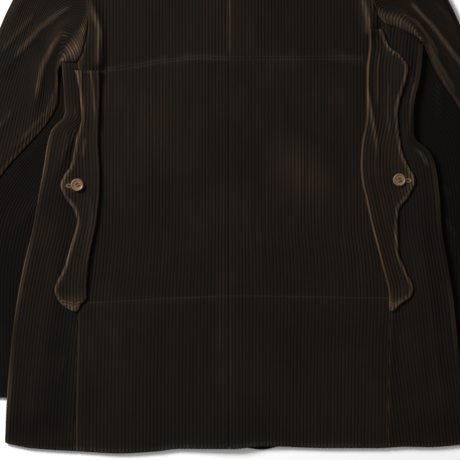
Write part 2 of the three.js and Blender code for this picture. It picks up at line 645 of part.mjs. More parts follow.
// The larger piece of a sleeve: from its free fold on the upper layer round the outside to the seam below
function topSleeve(side) {
  const { sign } = side;
  const seams = armhole(side);
  const upperShares = shares(seams.upper);
  const lowerShares = shares(seams.lower);
  return withMiddles(side.topSleeve.map((row) => row.share)).map((share, i) => {
    const get = (name) => along(side.topSleeve, "share", name, share);
    const outer = [sign * get("outerOut"), get("outerUp")];
    const inner = [sign * get("foldOut"), get("foldUp")];
    const seam = [sign * lowerSeamOut(side, get("seamUp")), get("seamUp")];
    // How much of the armhole's bow a section keeps, least beside the free fold and beside the seam below
    const bowHere = (length) => (1 - ramp(share, 0, length)) ** 2;
    const keepUpper = (f) => bowHere(ARMHOLE_BOW.upper) * ramp(f, 0, ARMHOLE_BOW.foldSide);
    const offSeam = (f) => ramp(1 - f, ARMHOLE_BOW.seamFrom, ARMHOLE_BOW.seamTo);
    const keepLower = (f) => bowHere(ARMHOLE_BOW.lower) * offSeam(f);
    // The points on the short seam beside the armpit spread out along the free fold.
    const spreadPower = mix(FOLD_SPREAD.power, 1, ramp(share, FOLD_SPREAD.from, FOLD_SPREAD.to));
    const settle = ramp(share, 0, SLEEVE_SETTLE.upper);
    const settleLow = ramp(share, 0, SLEEVE_SETTLE.lower);
    const edgeHigh = mix(seams.upper[seams.upper.length - 1].at[2], SLEEVE_EDGE_LEVEL, settle);
    const edgeLow = mix(seams.lower[0].at[2], FLOOR_LAYER, settle);
    const radius = (edgeHigh - edgeLow) / 2;
    // Moves a point of the armhole to its section, which runs straight between two places apart from the bow
    const placed = ({ from, to, list, fractions, keep, power }, j) => {
      const f = fractions[j];
      const [px, pup] = list[j].at;
      if (i === 0) return [px, pup];
      const [first, last] = [list[0].at, list[list.length - 1].at];
      const bowX = (px - mix(first[0], last[0], f)) * keep(f);
      const bowUp = (pup - mix(first[1], last[1], f)) * keep(f);
      return [mix(from[0], to[0], f ** power) + bowX, mix(from[1], to[1], f ** power) + bowUp];
    };
    const turnEnd = [outer[0] - sign * radius, outer[1]];
    const above = { from: inner, to: turnEnd, list: seams.upper, fractions: upperShares };
    const upper = seams.upper.map((p, j) => {
      const [x, up] = placed({ ...above, keep: keepUpper, power: spreadPower }, j);
      const f = upperShares[j] ** spreadPower;
      const rim = ramp(f, 0, SLEEVE_RIM) * (1 - ramp(f, RIM_OUTSIDE, 1));
      const fade = (1 - ramp(f, RIDGE_FADE.outside, 1)) * ramp(f, 0, RIDGE_FADE.foldSide);
      const level = mix(SLEEVE_EDGE_LEVEL, SLEEVE_LEVEL, rim) + ridges(SLEEVE_RIDGES, x, up) * fade;
      return point(x, up, mix(p.at[2], level, settle), UPWARDS);
    });
    const below = { from: turnEnd, to: seam, list: seams.lower, fractions: lowerShares };
    const lower = seams.lower.map((p, j) => {
      const [x, up] = placed({ ...below, keep: keepLower, power: 1 }, j);
      return point(x, up, mix(p.at[2], FLOOR_LAYER, settleLow), DOWNWARDS);
    });
    const outerX = i ? outer[0] : seams.lower[0].at[0] + sign * radius;
    const outerUp = i ? outer[1] : seams.lower[0].at[1];
    const turn = fold(outerX, sign, outerUp, edgeLow, edgeHigh).reverse();
    return [...upper, ...turn, ...lower];
  });
}

// The smaller piece of a sleeve: tucked under the free fold, round the inside and a little way underneath
function underSleeve(side) {
  const { sign } = side;
  const top = side.underSleeveTopUp;
  const narrowUps = [top - CUT_AWAY.from, top - CUT_AWAY.to];
  const ups = side.underSleeve.map((row) => row.up).filter((up) => up < narrowUps[0]);
  return [...ups, ...narrowUps, top - CUT_AWAY.last, top].map((up) => {
    const inner = sign * along(side.underSleeve, "up", "inner", up);
    // Beside the armpit the tuck is cut away, where the other piece comes down to the surface.
    const tucked = along(side.underSleeve, "up", "fold", up) + TUCK;
    const cutAway = lowerSeamOut(side, up) - UNDERSIDE_SEAM_GAP;
    const outer = sign * mix(tucked, cutAway, ramp(up, ...narrowUps));
    const radius = (UNDER_SLEEVE_LEVEL - FLOOR_LAYER) / 2;
    const turn = inner + sign * radius;
    const seam = sign * (lowerSeamOut(side, up) - UNDERSIDE_SEAM_GAP);
    const upper = UNDER_SLEEVE_COLUMNS.map((share) =>
      point(mix(outer, turn, share), up, UNDER_SLEEVE_LEVEL, UPWARDS),
    );
    const lower = [0, 1].map((share) => point(mix(turn, seam, share), up, FLOOR_LAYER, DOWNWARDS));
    const round = fold(inner, -sign, up, FLOOR_LAYER, UNDER_SLEEVE_LEVEL).reverse();
    return [...upper, ...round, ...lower];
  });
}

// Top of the flap's cloth, needed for its button too
function flapHeight(side, up, share, x) {
  const across = Math.exp(-((share / FLAP_ROLL_WIDE) ** 2));
  const roll = FLAP_ROLL * across * ramp(up, FLAP_ROLL_FOOT.from, FLAP_ROLL_FOOT.to);
  return backHeight(x, up) + CLOTH / 2 + FLAP_CLEARANCE + FLAP_THICKNESS / 2 + roll;
}

function flap(side) {
  const ups = side.flap.map((row) => row.up);
  const all = ups.flatMap((up, i) => {
    const isFar = i && up - ups[i - 1] > LONGEST_FLAP_STEP;
    return isFar ? [(up + ups[i - 1]) / 2, up] : [up];
  });
  return all.map((up) =>
    FLAP_COLUMNS.map((share) => {
      const inner = along(side.flap, "up", "inner", up);
      const outer = along(side.flap, "up", "outer", up);
      const x = side.sign * mix(inner, outer, share);
      return point(x, up, flapHeight(side, up, share, x), UPWARDS);
    }),
  );
}

// Stations of the collar along the neck seam, from the front of the left side to the front of the right.
// "lean" turns the section from lying under the fronts (-90) over the side of the neck to the back (90).
function collarStations(side) {
  const slope = Math.atan2(NECK_SIDE.up - SHOULDER.up, SHOULDER.out - NECK_SIDE.out);
  const shoulderAngle = Math.PI + slope;
  const stations = [];
  const add = (out, up, share, lean) => {
    const angle = mix(Math.PI * 1.5, shoulderAngle, share);
    stations.push({ out, up, lean, away: [Math.cos(angle), Math.sin(angle)] });
  };
  [2, ...FRONT_STRIP.slice(2), NECK_SIDE.out].forEach((out) =>
    add(out, frontNeckUp(out), Math.asin(out / NECK_SIDE.out) / radians(90), -90),
  );
  [-45, 0, 45].forEach((lean) => add(NECK_SIDE.out, NECK_SIDE.up, 1, lean));
  [...NECK_COLUMNS].reverse().forEach((share) => {
    const out = SHOULDER.out * share;
    add(out, backNeckUp(out), out / NECK_SIDE.out, 90);
  });
  // The table is worked out for the left side, where "away" points to negative x.
  return stations.map((s) => ({ ...s, x: side.sign * s.out, away: [-side.sign * s.away[0], s.away[1]] }));
}

function collarSection(station, sign) {
  const { stand, fall: drop, centreHeight, standHalf, fallHalf } = COLLAR;
  const crest = (fallHalf - standHalf) / 2;
  const middle = (fallHalf + standHalf) / 2;
  const spots = [
    { back: 2 * SEAM_GAP, half: standHalf, turn: -90 },
    { back: stand / 2, half: standHalf, turn: -90 },
    { back: stand, half: standHalf, turn: -90 },
    { back: stand + crest * 0.7, half: middle - crest * 0.7, turn: -45 },
    { back: stand + crest, half: middle, turn: 0 },
    { back: stand + crest * 0.7, half: middle + crest * 0.7, turn: 45 },
    { back: stand, half: fallHalf, turn: 90 },
    { back: 6, half: fallHalf, turn: 90 },
    { back: -drop / 2, half: fallHalf, turn: 90 },
    { back: -drop, half: fallHalf, turn: 90 },
  ];
  const lean = radians(station.lean);
  // Across the shoulder seam, away from the body
  const across = [sign * Math.abs(station.away[1]), Math.abs(station.away[0])];
  return spots.map(({ back, half, turn }) => {
    const [ax, ay] = station.away;
    const side = Math.cos(lean) * half;
    const x = station.x - ax * back + across[0] * side;
    const up = station.up - ay * back + across[1] * side;
    const away = Math.cos(radians(turn));
    const out = Math.sin(radians(turn));
    const normal = [
      -ax * away + across[0] * Math.cos(lean) * out,
      -ay * away + across[1] * Math.cos(lean) * out,
      Math.sin(lean) * out,
    ];
    return point(x, up, centreHeight + Math.sin(lean) * half, normal);
  });
}

function collar() {
  const left = collarStations(LEFT).map((s) => collarSection(s, -1));
  const right = collarStations(RIGHT).map((s) => collarSection(s, 1));
  return [...left, ...right.reverse().slice(1)];
}

// A turned button with a raised rim, a dished face and a short foot
function button(thickness, foot) {
  const r = BUTTON_RADIUS;
  const profile = [
    [0, 0],
    [r * 0.35, 0],
    [r * 0.4, foot],
    [r * 0.9, foot],
    [r, foot + thickness * 0.35],
    [r * 0.95, foot + thickness * 0.8],
    [r * 0.84, foot + thickness],
    [r * 0.7, foot + thickness * 0.8],
    [r * 0.3, foot + thickness * 0.9],
    [0, foot + thickness * 0.9],
  ].map(([x, y]) => new THREE.Vector2(x, y));
  return new THREE.LatheGeometry(profile, 20).rotateX(Math.PI / 2);
}

const corduroy = (name) =>
  new THREE.MeshStandardMaterial({ name, color: 0x1f1a15, roughness: 0.95, metalness: 0 });
const cloth = corduroy("corduroy");
const horn = new THREE.MeshStandardMaterial({
  name: "horn",
  color: 0x8a6748,
  roughness: 0.45,
  metalness: 0,
});

const jacket = new THREE.Group();
jacket.position.y = -MIDDLE_UP;

function add(name, geometry, material, place = [0, 0, 0]) {
  const mesh = new THREE.Mesh(geometry, material);
  mesh.name = name;
  mesh.position.set(...place);
  jacket.add(mesh);
}

[LEFT, RIGHT].forEach((side) => {
  add(`front_${side.name}`, wall(frontPanel(side), CLOTH), cloth);
  add(`back_${side.name}`, wall(backPanel(side), CLOTH), cloth);
  add(`top_sleeve_${side.name}`, wall(topSleeve(side), CLOTH), cloth);
  add(`under_sleeve_${side.name}`, wall(underSleeve(side), CLOTH), cloth);
  add(`pocket_flap_${side.name}`, wall(flap(side), FLAP_THICKNESS), cloth);
  const { out, up } = side.button;
  const inner = along(side.flap, "up", "inner", up);
  const outer = along(side.flap, "up", "outer", up);
  const x = side.sign * out;
  const top = flapHeight(side, up, (out - inner) / (outer - inner), x) + FLAP_THICKNESS / 2;
  add(`flap_button_${side.name}`, button(FLAP_BUTTON.thickness, FLAP_BUTTON.foot), horn, [
    x,
    up,
    top + 2 * SEAM_GAP,
  ]);
});
add("collar", wall(collar(), CLOTH), cloth);
FRONT_BUTTON_UPS.forEach((up, i) => {
  const turned = button(FRONT_BUTTON.thickness, FRONT_BUTTON.foot).rotateX(Math.PI);
  add(`front_button_${i + 1}`, turned, horn, [0, up, FRONT_BUTTON.thickness + FRONT_BUTTON.foot]);
});

export default jacket;
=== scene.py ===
"""Hunting jacket in wide-wale corduroy, laid flat on its front with the back up.

Sizes are millimetres unless a name ends in _m. The surface it lies on is z = 0, the collar points along +Y
and the back faces +Z. "up" is the distance from the hem line towards the collar and "out" the distance from
the centre back. The left side of the picture, which is also the wearer's left, is at negative x.
"""

import logging
import math
from dataclasses import dataclass
from enum import Enum
from typing import Iterable, Sequence

import bmesh
import bpy
import numpy as np
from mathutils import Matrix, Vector


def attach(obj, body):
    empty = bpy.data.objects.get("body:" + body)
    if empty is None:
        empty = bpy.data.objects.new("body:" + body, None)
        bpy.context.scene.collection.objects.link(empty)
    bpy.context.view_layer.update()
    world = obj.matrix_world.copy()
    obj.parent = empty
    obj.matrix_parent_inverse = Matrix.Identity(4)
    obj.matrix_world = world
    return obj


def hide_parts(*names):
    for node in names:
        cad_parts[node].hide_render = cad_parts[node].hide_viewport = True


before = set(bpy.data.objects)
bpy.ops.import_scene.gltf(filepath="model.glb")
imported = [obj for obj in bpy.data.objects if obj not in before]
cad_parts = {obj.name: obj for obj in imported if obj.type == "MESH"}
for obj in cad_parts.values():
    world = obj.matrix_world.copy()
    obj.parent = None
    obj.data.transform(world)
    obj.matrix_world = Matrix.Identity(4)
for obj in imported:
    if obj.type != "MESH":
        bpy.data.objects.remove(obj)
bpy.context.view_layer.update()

Array = np.ndarray
Row = tuple[float, ...]
Pair = tuple[float, float]
Face = tuple[int, ...]
Triple = tuple[float, float, float]
Colour = Triple
Socket = bpy.types.NodeSocket
Inputs = dict[str | int, Colour | Socket | float]
FIRST_COLOUR, SECOND_COLOUR, BLENDED_COLOUR = 6, 7, 2

MM = 0.001
TINY = 1e-6
FAR = 1e9
BODY = "root"
CLOTH = 2.0
SEAM_GAP = 0.3
WALE_PITCH = 4.95
WALE_DEPTH = 0.95
WALE_ROUNDNESS = 0.55
INSIDE_CREST = 0.4
PRESSED, PRESSED_VARIES = 0.7, 0.3
PROUD = 0.3
HEM_DIP, HEM_ROUND = 1.1, 1.3
CUFF_DIP, CUFF_ROUND = 0.9, 1.6
TWIN_ROW_GAP = 4.6
FLAP_STITCH_IN = 5.0
WEAR_FOCUS = 5
COLUMN_PHASES = (0.0, 0.13, 0.34, 0.66, 0.87)
COLUMNS_PER_WALE = len(COLUMN_PHASES)
ROW_STEP = 8.5
HEM_ROWS = (0.7, 1.8, 3.6, 22.0, 24.0, 26.0)

log = logging.getLogger("jacket")


def ramp(value: Array | float, start: float, end: float) -> Array | float:
    """Return 0 below start, 1 above end and a smooth step between them."""
    t = np.clip((np.asarray(value, float) - start) / (end - start), 0.0, 1.0)
    return t * t * (3 - 2 * t)


def mix(a: Array | float, b: Array | float, t: Array | float) -> Array | float:
    """Return the value a share t of the way from a to b."""
    return a + (b - a) * t


def bell(distance: Array | float, wide: float) -> Array | float:
    """Return a bump that is 1 at a distance of 0 and falls to about a third at wide."""
    return np.exp(-((np.asarray(distance, float) / wide) ** 2))


@dataclass(frozen=True)
class Track:
    """A short table, keyed by its first column, that is read as smooth curves."""

    columns: str
    rows: tuple[Row, ...]

    def read(self, column: str, at: Array | float) -> Array:
        """Read a column on a curve that never overshoots a row.

        Args:
            column: name of the column.
            at: places along the key.

        Returns:
            The column's values there.
        """
        table = np.array(self.rows, float)
        keys = table[:, 0]
        values = table[:, self.columns.split().index(column)]
        at = np.clip(np.asarray(at, float), keys[0], keys[-1])
        span = np.diff(keys)
        slope = np.diff(values) / span
        product = slope[:-1] * slope[1:]
        total = np.where(product > 0, slope[:-1] + slope[1:], 1.0)
        inner = np.where(product > 0, 2 * product / total, 0.0)
        tangent = np.concatenate(([slope[0]], inner, [slope[-1]]))
        i = np.clip(np.searchsorted(keys, at, side="right") - 1, 0, len(keys) - 2)
        t = (at - keys[i]) / span[i]
        return (
            values[i] * (1 + 2 * t) * (1 - t) ** 2
            + span[i] * tangent[i] * t * (1 - t) ** 2
            + values[i + 1] * t * t * (3 - 2 * t)
            - span[i] * tangent[i + 1] * t * t * (1 - t)
        )

    @property
    def end(self) -> float:
        """The last key."""
        return self.rows[-1][0]


@dataclass(frozen=True)
class Crease:
    """A soft ridge, or a trough where high is below 0, along a line of points in plan."""

    points: tuple[Pair, ...]
    high: float
    wide: float
    wear: float = 0.0
    at_ends: float = 0.35
    start_fade: float = 0.18
    end_fade: float = 0.3

    def closeness(self, x: Array, up: Array) -> Array:
        """Work out how close points are to the line.

        Args:
            x: places across.
            up: places up.

        Returns:
            1 on the line, about a third at wide beside it, and less towards its ends.
        """
        nearest = np.full(np.shape(x), FAR)
        place = np.zeros(np.shape(x))
        lengths = [math.dist(a, b) for a, b in zip(self.points, self.points[1:])]
        run = 0.0
        for (x0, up0), (x1, up1), length in zip(self.points, self.points[1:], lengths):
            dx, dy = x1 - x0, up1 - up0
            t = np.clip(((x - x0) * dx + (up - up0) * dy) / length**2, 0, 1)
            distance = np.hypot(x - x0 - t * dx, up - up0 - t * dy)
            closer = distance < nearest
            place = np.where(closer, run + t * length, place)
            nearest = np.where(closer, distance, nearest)
            run += length
        share = place / run
        full = ramp(share, 0.0, self.start_fade) * ramp(1 - share, 0.0, self.end_fade)
        return bell(nearest, self.wide) * mix(self.at_ends, 1.0, full)


@dataclass(frozen=True)
class Side:
    """One side of the jacket, with the outlines of its pieces."""

    name: str
    sign: int
    body: Track
    seam_top: float
    back_armhole: Track
    front_armhole: Track
    under_sleeve: Track
    top_sleeve: Track
    flap: Track
    button: Pair
    buttonhole: Pair
    flap_line_up: float
    seam_bow: float
    under_sleeve_top: float

    @property
    def armpit(self) -> float:
        """Up of the armpit."""
        return self.body.end

    def seam_rise(self, up: Array) -> Array:
        """Return how far rows below the armpit rise at the side back seam, to meet the back's armhole."""
        return (self.seam_top - self.armpit) * ramp(up - self.armpit, -SEAM_RISE_LENGTH, 0)

    def lower_seam(self, up: Array) -> Array:
        """Return out of the sleeve's seam on the underside, which bows out a little beside the armpit."""
        bow = self.seam_bow * bell(np.asarray(up, float) - self.armpit + 37, 45)
        return self.under_sleeve.read("inner", up) + SLEEVE_TURN + bow


SEAM_RISE_LENGTH = 130.0
SLEEVE_TURN = 20.0
SLEEVE_SEAM_GAP = 0.6
SHOULDER_OUT, SHOULDER_UP = 228.0, 757.0
NECK_OUT, NECK_UP = 85.0, 817.0
SHOULDER_SLOPE = math.atan2(NECK_UP - SHOULDER_UP, SHOULDER_OUT - NECK_OUT)

LEFT = Side(
    name="left",
    sign=-1,
    body=Track("up edge seam", (
        (0, 336, 231), (72, 332, 230), (158, 325, 228), (226, 316, 226), (277, 306, 219), (331, 293, 214),
        (387, 283, 213), (425, 276, 212), (452, 272, 211), (477, 265, 210), (500, 245, 210),
        (540, 247, 217), (579, 250, 228),
    )),
    seam_top=577,
    back_armhole=Track("share out up", (
        (0, 228, 577), (0.12, 219, 592), (0.35, 212, 634), (0.6, 211, 680), (0.8, 216, 719),
        (1, SHOULDER_OUT, SHOULDER_UP),
    )),
    front_armhole=Track("share out up", (
        (0, 247.5, 579), (0.084, 222, 594), (0.253, 204, 624), (0.51, 198, 670), (0.764, 208, 715),
        (1, SHOULDER_OUT, SHOULDER_UP),
    )),
    under_sleeve=Track("up fold inner", (
        (75, 391, 284), (160, 396, 281), (250, 395, 276), (340, 380, 269), (407, 344, 262), (455, 302, 256),
        (487, 274, 248), (508, 258, 240), (546, 257, 239), (579, 250, 227.5),
    )),
    top_sleeve=Track("share outer_out outer_up fold_out fold_up seam_up", (
        (0, 228, 757, 250, 579, 579), (0.06, 264, 742, 256.5, 563, 566), (0.14, 304, 705, 257, 541, 549),
        (0.22, 330, 661, 257, 522, 530), (0.32, 358, 594, 273, 488, 496), (0.44, 390, 510, 302, 455, 452),
        (0.56, 414, 428, 344, 407, 396), (0.68, 431, 340, 382, 334, 323), (0.8, 440, 240, 396, 240, 238),
        (0.9, 440, 156, 396, 156, 156), (1, 436, 75, 391, 75, 75),
    )),
    flap=Track("up inner outer", (
        (205, 227, 236), (214, 223, 249), (225, 213, 258), (237, 213, 261), (270, 211, 247.5),
        (316, 203, 234), (340, 198, 228), (360, 196, 234), (378, 194, 247), (394.5, 193.5, 252),
        (408, 193.5, 247.5), (424, 194, 237), (462, 196, 229.5), (496, 194.5, 221), (552, 193.5, 227),
        (566, 194, 231),
    )),
    button=(227, 394.5),
    buttonhole=(238.5, 393),
    flap_line_up=225,
    seam_bow=5,
    under_sleeve_top=575,
)

RIGHT = Side(
    name="right",
    sign=1,
    body=Track("up edge seam", (
        (0, 360, 238), (75, 352, 239), (144, 343.5, 240), (226, 335, 243), (277, 327, 240), (331, 318, 232),
        (375, 315, 231), (402, 312, 231), (428, 307.5, 230), (447, 298.5, 229), (466, 277, 229),
        (507, 276, 230), (562, 286.5, 237), (607, 291, 233),
    )),
    seam_top=637,
    back_armhole=Track("share out up", (
        (0, 233, 637), (0.12, 222, 651), (0.25, 217.5, 667), (0.5, 217, 697), (0.75, 220, 727),
        (1, SHOULDER_OUT, SHOULDER_UP),
    )),
    front_armhole=Track("share out up", (
        (0, 288, 607), (0.07, 250, 617), (0.22, 219, 640), (0.44, 206, 673), (0.73, 209, 716),
        (1, SHOULDER_OUT, SHOULDER_UP),
    )),
    under_sleeve=Track("up fold inner", (
        (75, 391, 300), (160, 396, 299), (250, 396, 297), (322, 394, 294), (385, 388, 290), (445, 378, 284),
        (510, 346, 272), (546, 322, 272), (607, 291, 268),
    )),
    top_sleeve=Track("share outer_out outer_up fold_out fold_up seam_up", (
        (0, 228, 757, 291, 607, 607), (0.06, 264, 743, 299, 590, 588), (0.14, 306, 708, 311, 565, 562),
        (0.22, 333, 664, 326.5, 540, 536), (0.32, 361, 598, 346.5, 510, 500),
        (0.44, 392, 514, 372, 460, 455), (0.56, 416, 430, 384, 405, 398),
        (0.68, 432, 340, 393, 330, 323), (0.8, 440, 240, 396, 240, 238),
        (0.9, 440, 156, 396, 156, 156), (1, 436, 75, 391, 75, 75),
    )),
    flap=Track("up inner outer", (
        (205, 241, 247), (215, 240, 256), (229, 240, 274), (240, 238, 276), (266, 231, 265), (297, 223, 254),
        (335, 213, 253), (358, 208, 255), (377, 204, 269), (402, 198.5, 279), (424, 197, 268),
        (450, 198, 258.5), (502, 206, 253), (570, 206, 268), (586, 208, 260), (603, 210, 240),
        (628, 209, 230),
    )),
    button=(255, 402),
    buttonhole=(268, 401),
    flap_line_up=240,
    seam_bow=11.5,
    under_sleeve_top=602,
)

HEM = Track("x up", (
    (-336, 7), (-298, -0.5), (-223, -5.5), (-165, -8.5), (-111, -5.5), (-73, -1.5), (6, -1.5), (49, 2.5),
    (151, -0.5), (226, -0.5), (264, 1.5), (301, 1), (339, 3.5), (360, 6),
))
POCKET_TOP_LINE = Track("x up", (
    (-245, 569.5), (-194, 570), (-148, 574.5), (-103, 582), (-43, 588), (0, 586.5), (166, 588), (256, 588),
))
POCKET_FOOT_LINE = Track("x up", (
    (-212, 217.5), (-43, 226.5), (0, 228), (241, 225),
))

BACK_CREASES = (
    Crease(((-195, 560), (-194, 626.5), (-203, 650.5), (-210, 684.5)), 4.2, 8, 0.8),
    Crease(((-186, 540), (-184, 630), (-190, 680)), -1.2, 7),
    Crease(((210, 612), (208, 640), (198, 690)), 4.4, 8, 0.8),
    Crease(((220, 624), (214, 690)), 1.4, 7, 0.3),
    Crease(((150, 346.5), (156, 486.5), (152, 576.5)), 0.7, 22),
    Crease(((-120, 266.5), (-96, 436.5), (-104, 556.5)), 0.8, 26),
    Crease(((70, 36.5), (62, 196.5), (40, 316.5)), 0.7, 24),
    Crease(((-70, 31.5), (-52, 176.5), (-60, 276.5)), 0.6, 18),
    Crease(((170, 32.5), (182, 166.5)), 0.5, 20),
)
SIDE_CREASES = (
    Crease(((-262, 420), (-232, 470), (-226, 545)), 1.6, 8, 0.25),
    Crease(((-268, 395), (-246, 440), (-238, 500)), 1.1, 7, 0.2),
    Crease(((-300, 20), (-282, 140), (-262, 250), (-258, 330)), 0.9, 12, 0.12),
    Crease(((-252, 110), (-244, 150)), 0.7, 6, 0.2),
    Crease(((262, 604), (276, 540), (268, 480), (262, 430)), 1.6, 7, 0.25),
    Crease(((277, 452), (292, 436), (300, 416)), 1.8, 8, 0.5),
    Crease(((322, 30), (306, 170), (288, 300), (284, 370)), 1.0, 12, 0.15),
    Crease(((262, 40), (266, 150), (270, 200)), 0.8, 10, 0.1),
)
SLEEVE_CREASES = (
    Crease(((-222, 668.5), (-250, 656.5), (-283, 630.5), (-313, 596.5), (-344, 564.5)), 2.6, 8, 0.6),
    Crease((
        (-234, 638.5), (-250, 622.5), (-266, 600.5), (-280, 572.5), (-288, 532.5), (-294, 494.5),
    ), 3.4, 8, 0.75),
    Crease(((-212, 634.5), (-234, 606.5), (-257, 588.5)), 2.0, 6, 0.5),
    Crease(((-214, 612.5), (-232, 597.5), (-249, 585.5)), 1.6, 5, 0.4),
    Crease(((-286, 662.5), (-309, 631.5), (-330, 608.5), (-356, 576.5)), 1.8, 9, 0.3),
    Crease(((-252, 576.5), (-259, 540.5), (-272, 506.5), (-302, 472.5), (-342, 428.5)), 1.3, 6, 0.5),
    Crease(((-318, 512.5), (-330, 500.5), (-346, 478.5), (-368, 436.5)), 2.0, 9, 0.3),
    Crease(((-236, 720), (-318, 668), (-350, 610)), 1.8, 14, 0.1),
    Crease(((-372, 400), (-398, 330), (-408, 250)), 1.6, 12, 0.1),
    Crease(((244, 716), (322, 664), (352, 604)), 1.8, 14, 0.1),
    Crease((
        (262, 684.5), (288, 650.5), (304, 634.5), (324, 608.5), (346, 578.5), (364, 536.5),
    ), 3.4, 7, 0.85),
    Crease(((244, 671.5), (261, 653.5), (282, 637.5), (302, 612.5), (327, 566.5)), 2.2, 6, 0.5),
    Crease(((216, 666.5), (224, 646.5), (239, 632.5), (260, 622.5), (282, 616.5)), 1.6, 6, 0.6),
    Crease(((293, 618.5), (312, 582.5), (331, 550.5), (352, 516.5)), 1.3, 6, 0.5),
    Crease(((296, 680.5), (340, 636.5), (366, 576.5)), 1.6, 10, 0.2),
    Crease(((386, 480), (404, 400), (410, 320)), 1.6, 12, 0.1),
)
UNDER_SLEEVE_CREASES = (
    Crease(((-268, 408.5), (-292, 366.5), (-330, 326.5)), 0.8, 12, 0.15),
    Crease(((-262, 486.5), (-276, 462.5)), 0.6, 9),
    Crease(((313, 562.5), (315, 514.5), (312, 486.5), (306, 478.5)), 0.8, 5, 0.45),
    Crease(((316, 398.5), (338, 370.5)), 0.8, 8, 0.25),
    Crease(((324, 344.5), (346, 312.5)), 0.8, 8, 0.4),
)
FLAP_CREASES = (
    Crease(((-221, 562.5), (-207, 564.5), (-204, 546.5), (-201, 510.5), (-198, 478.5)), 1.4, 3.5, 0.7),
    Crease(((-226, 576.5), (-222, 564.5), (-222, 526.5), (-217, 486.5)), 1.2, 3.5, 0.7),
    Crease(((-214, 468.5), (-219, 440.5), (-216, 428.5)), 0.8, 4, 0.4),
    Crease(((-212, 400), (-205, 350), (-214, 280), (-226, 240)), 0.8, 4, 0.12),
    Crease(((209, 650), (210, 597), (205.5, 544), (211.5, 515), (222, 447), (223.5, 402)), 1.8, 4.5, 0.95),
    Crease(((226, 602.5), (222, 556.5), (222, 496.5)), 0.8, 4, 0.3),
    Crease(((240, 560), (238, 500), (243, 450)), 0.7, 4, 0.3),
    Crease(((214, 332.5), (224, 278.5), (236, 238.5)), 0.8, 4, 0.5),
)


def creases_height(creases: Sequence[Crease], x: Array, up: Array) -> Array:
    """Return the height that creases add at places in plan."""
    return sum(crease.high * crease.closeness(x, up) for crease in creases)


def creases_wear(creases: Sequence[Crease], x: Array, up: Array) -> Array:
    """Return how worn creases leave the cloth at places in plan, which is most along their very crests."""
    worn = [crease.wear * crease.closeness(x, up) ** WEAR_FOCUS for crease in creases]
    return np.max(worn, axis=0)


def unevenness(x: Array, up: Array) -> Array:
    """Return slow waves, from -1 to 1, by which the cloth lies less than flat."""
    return (
        0.4 * np.sin(x / 31 + 0.9 * np.sin(up / 83))
        + 0.3 * np.sin(up / 47 + 1.3 * np.sin(x / 61) + 2)
        + 0.3 * np.sin((x + 0.6 * up) / 23 + 1.1)
    )


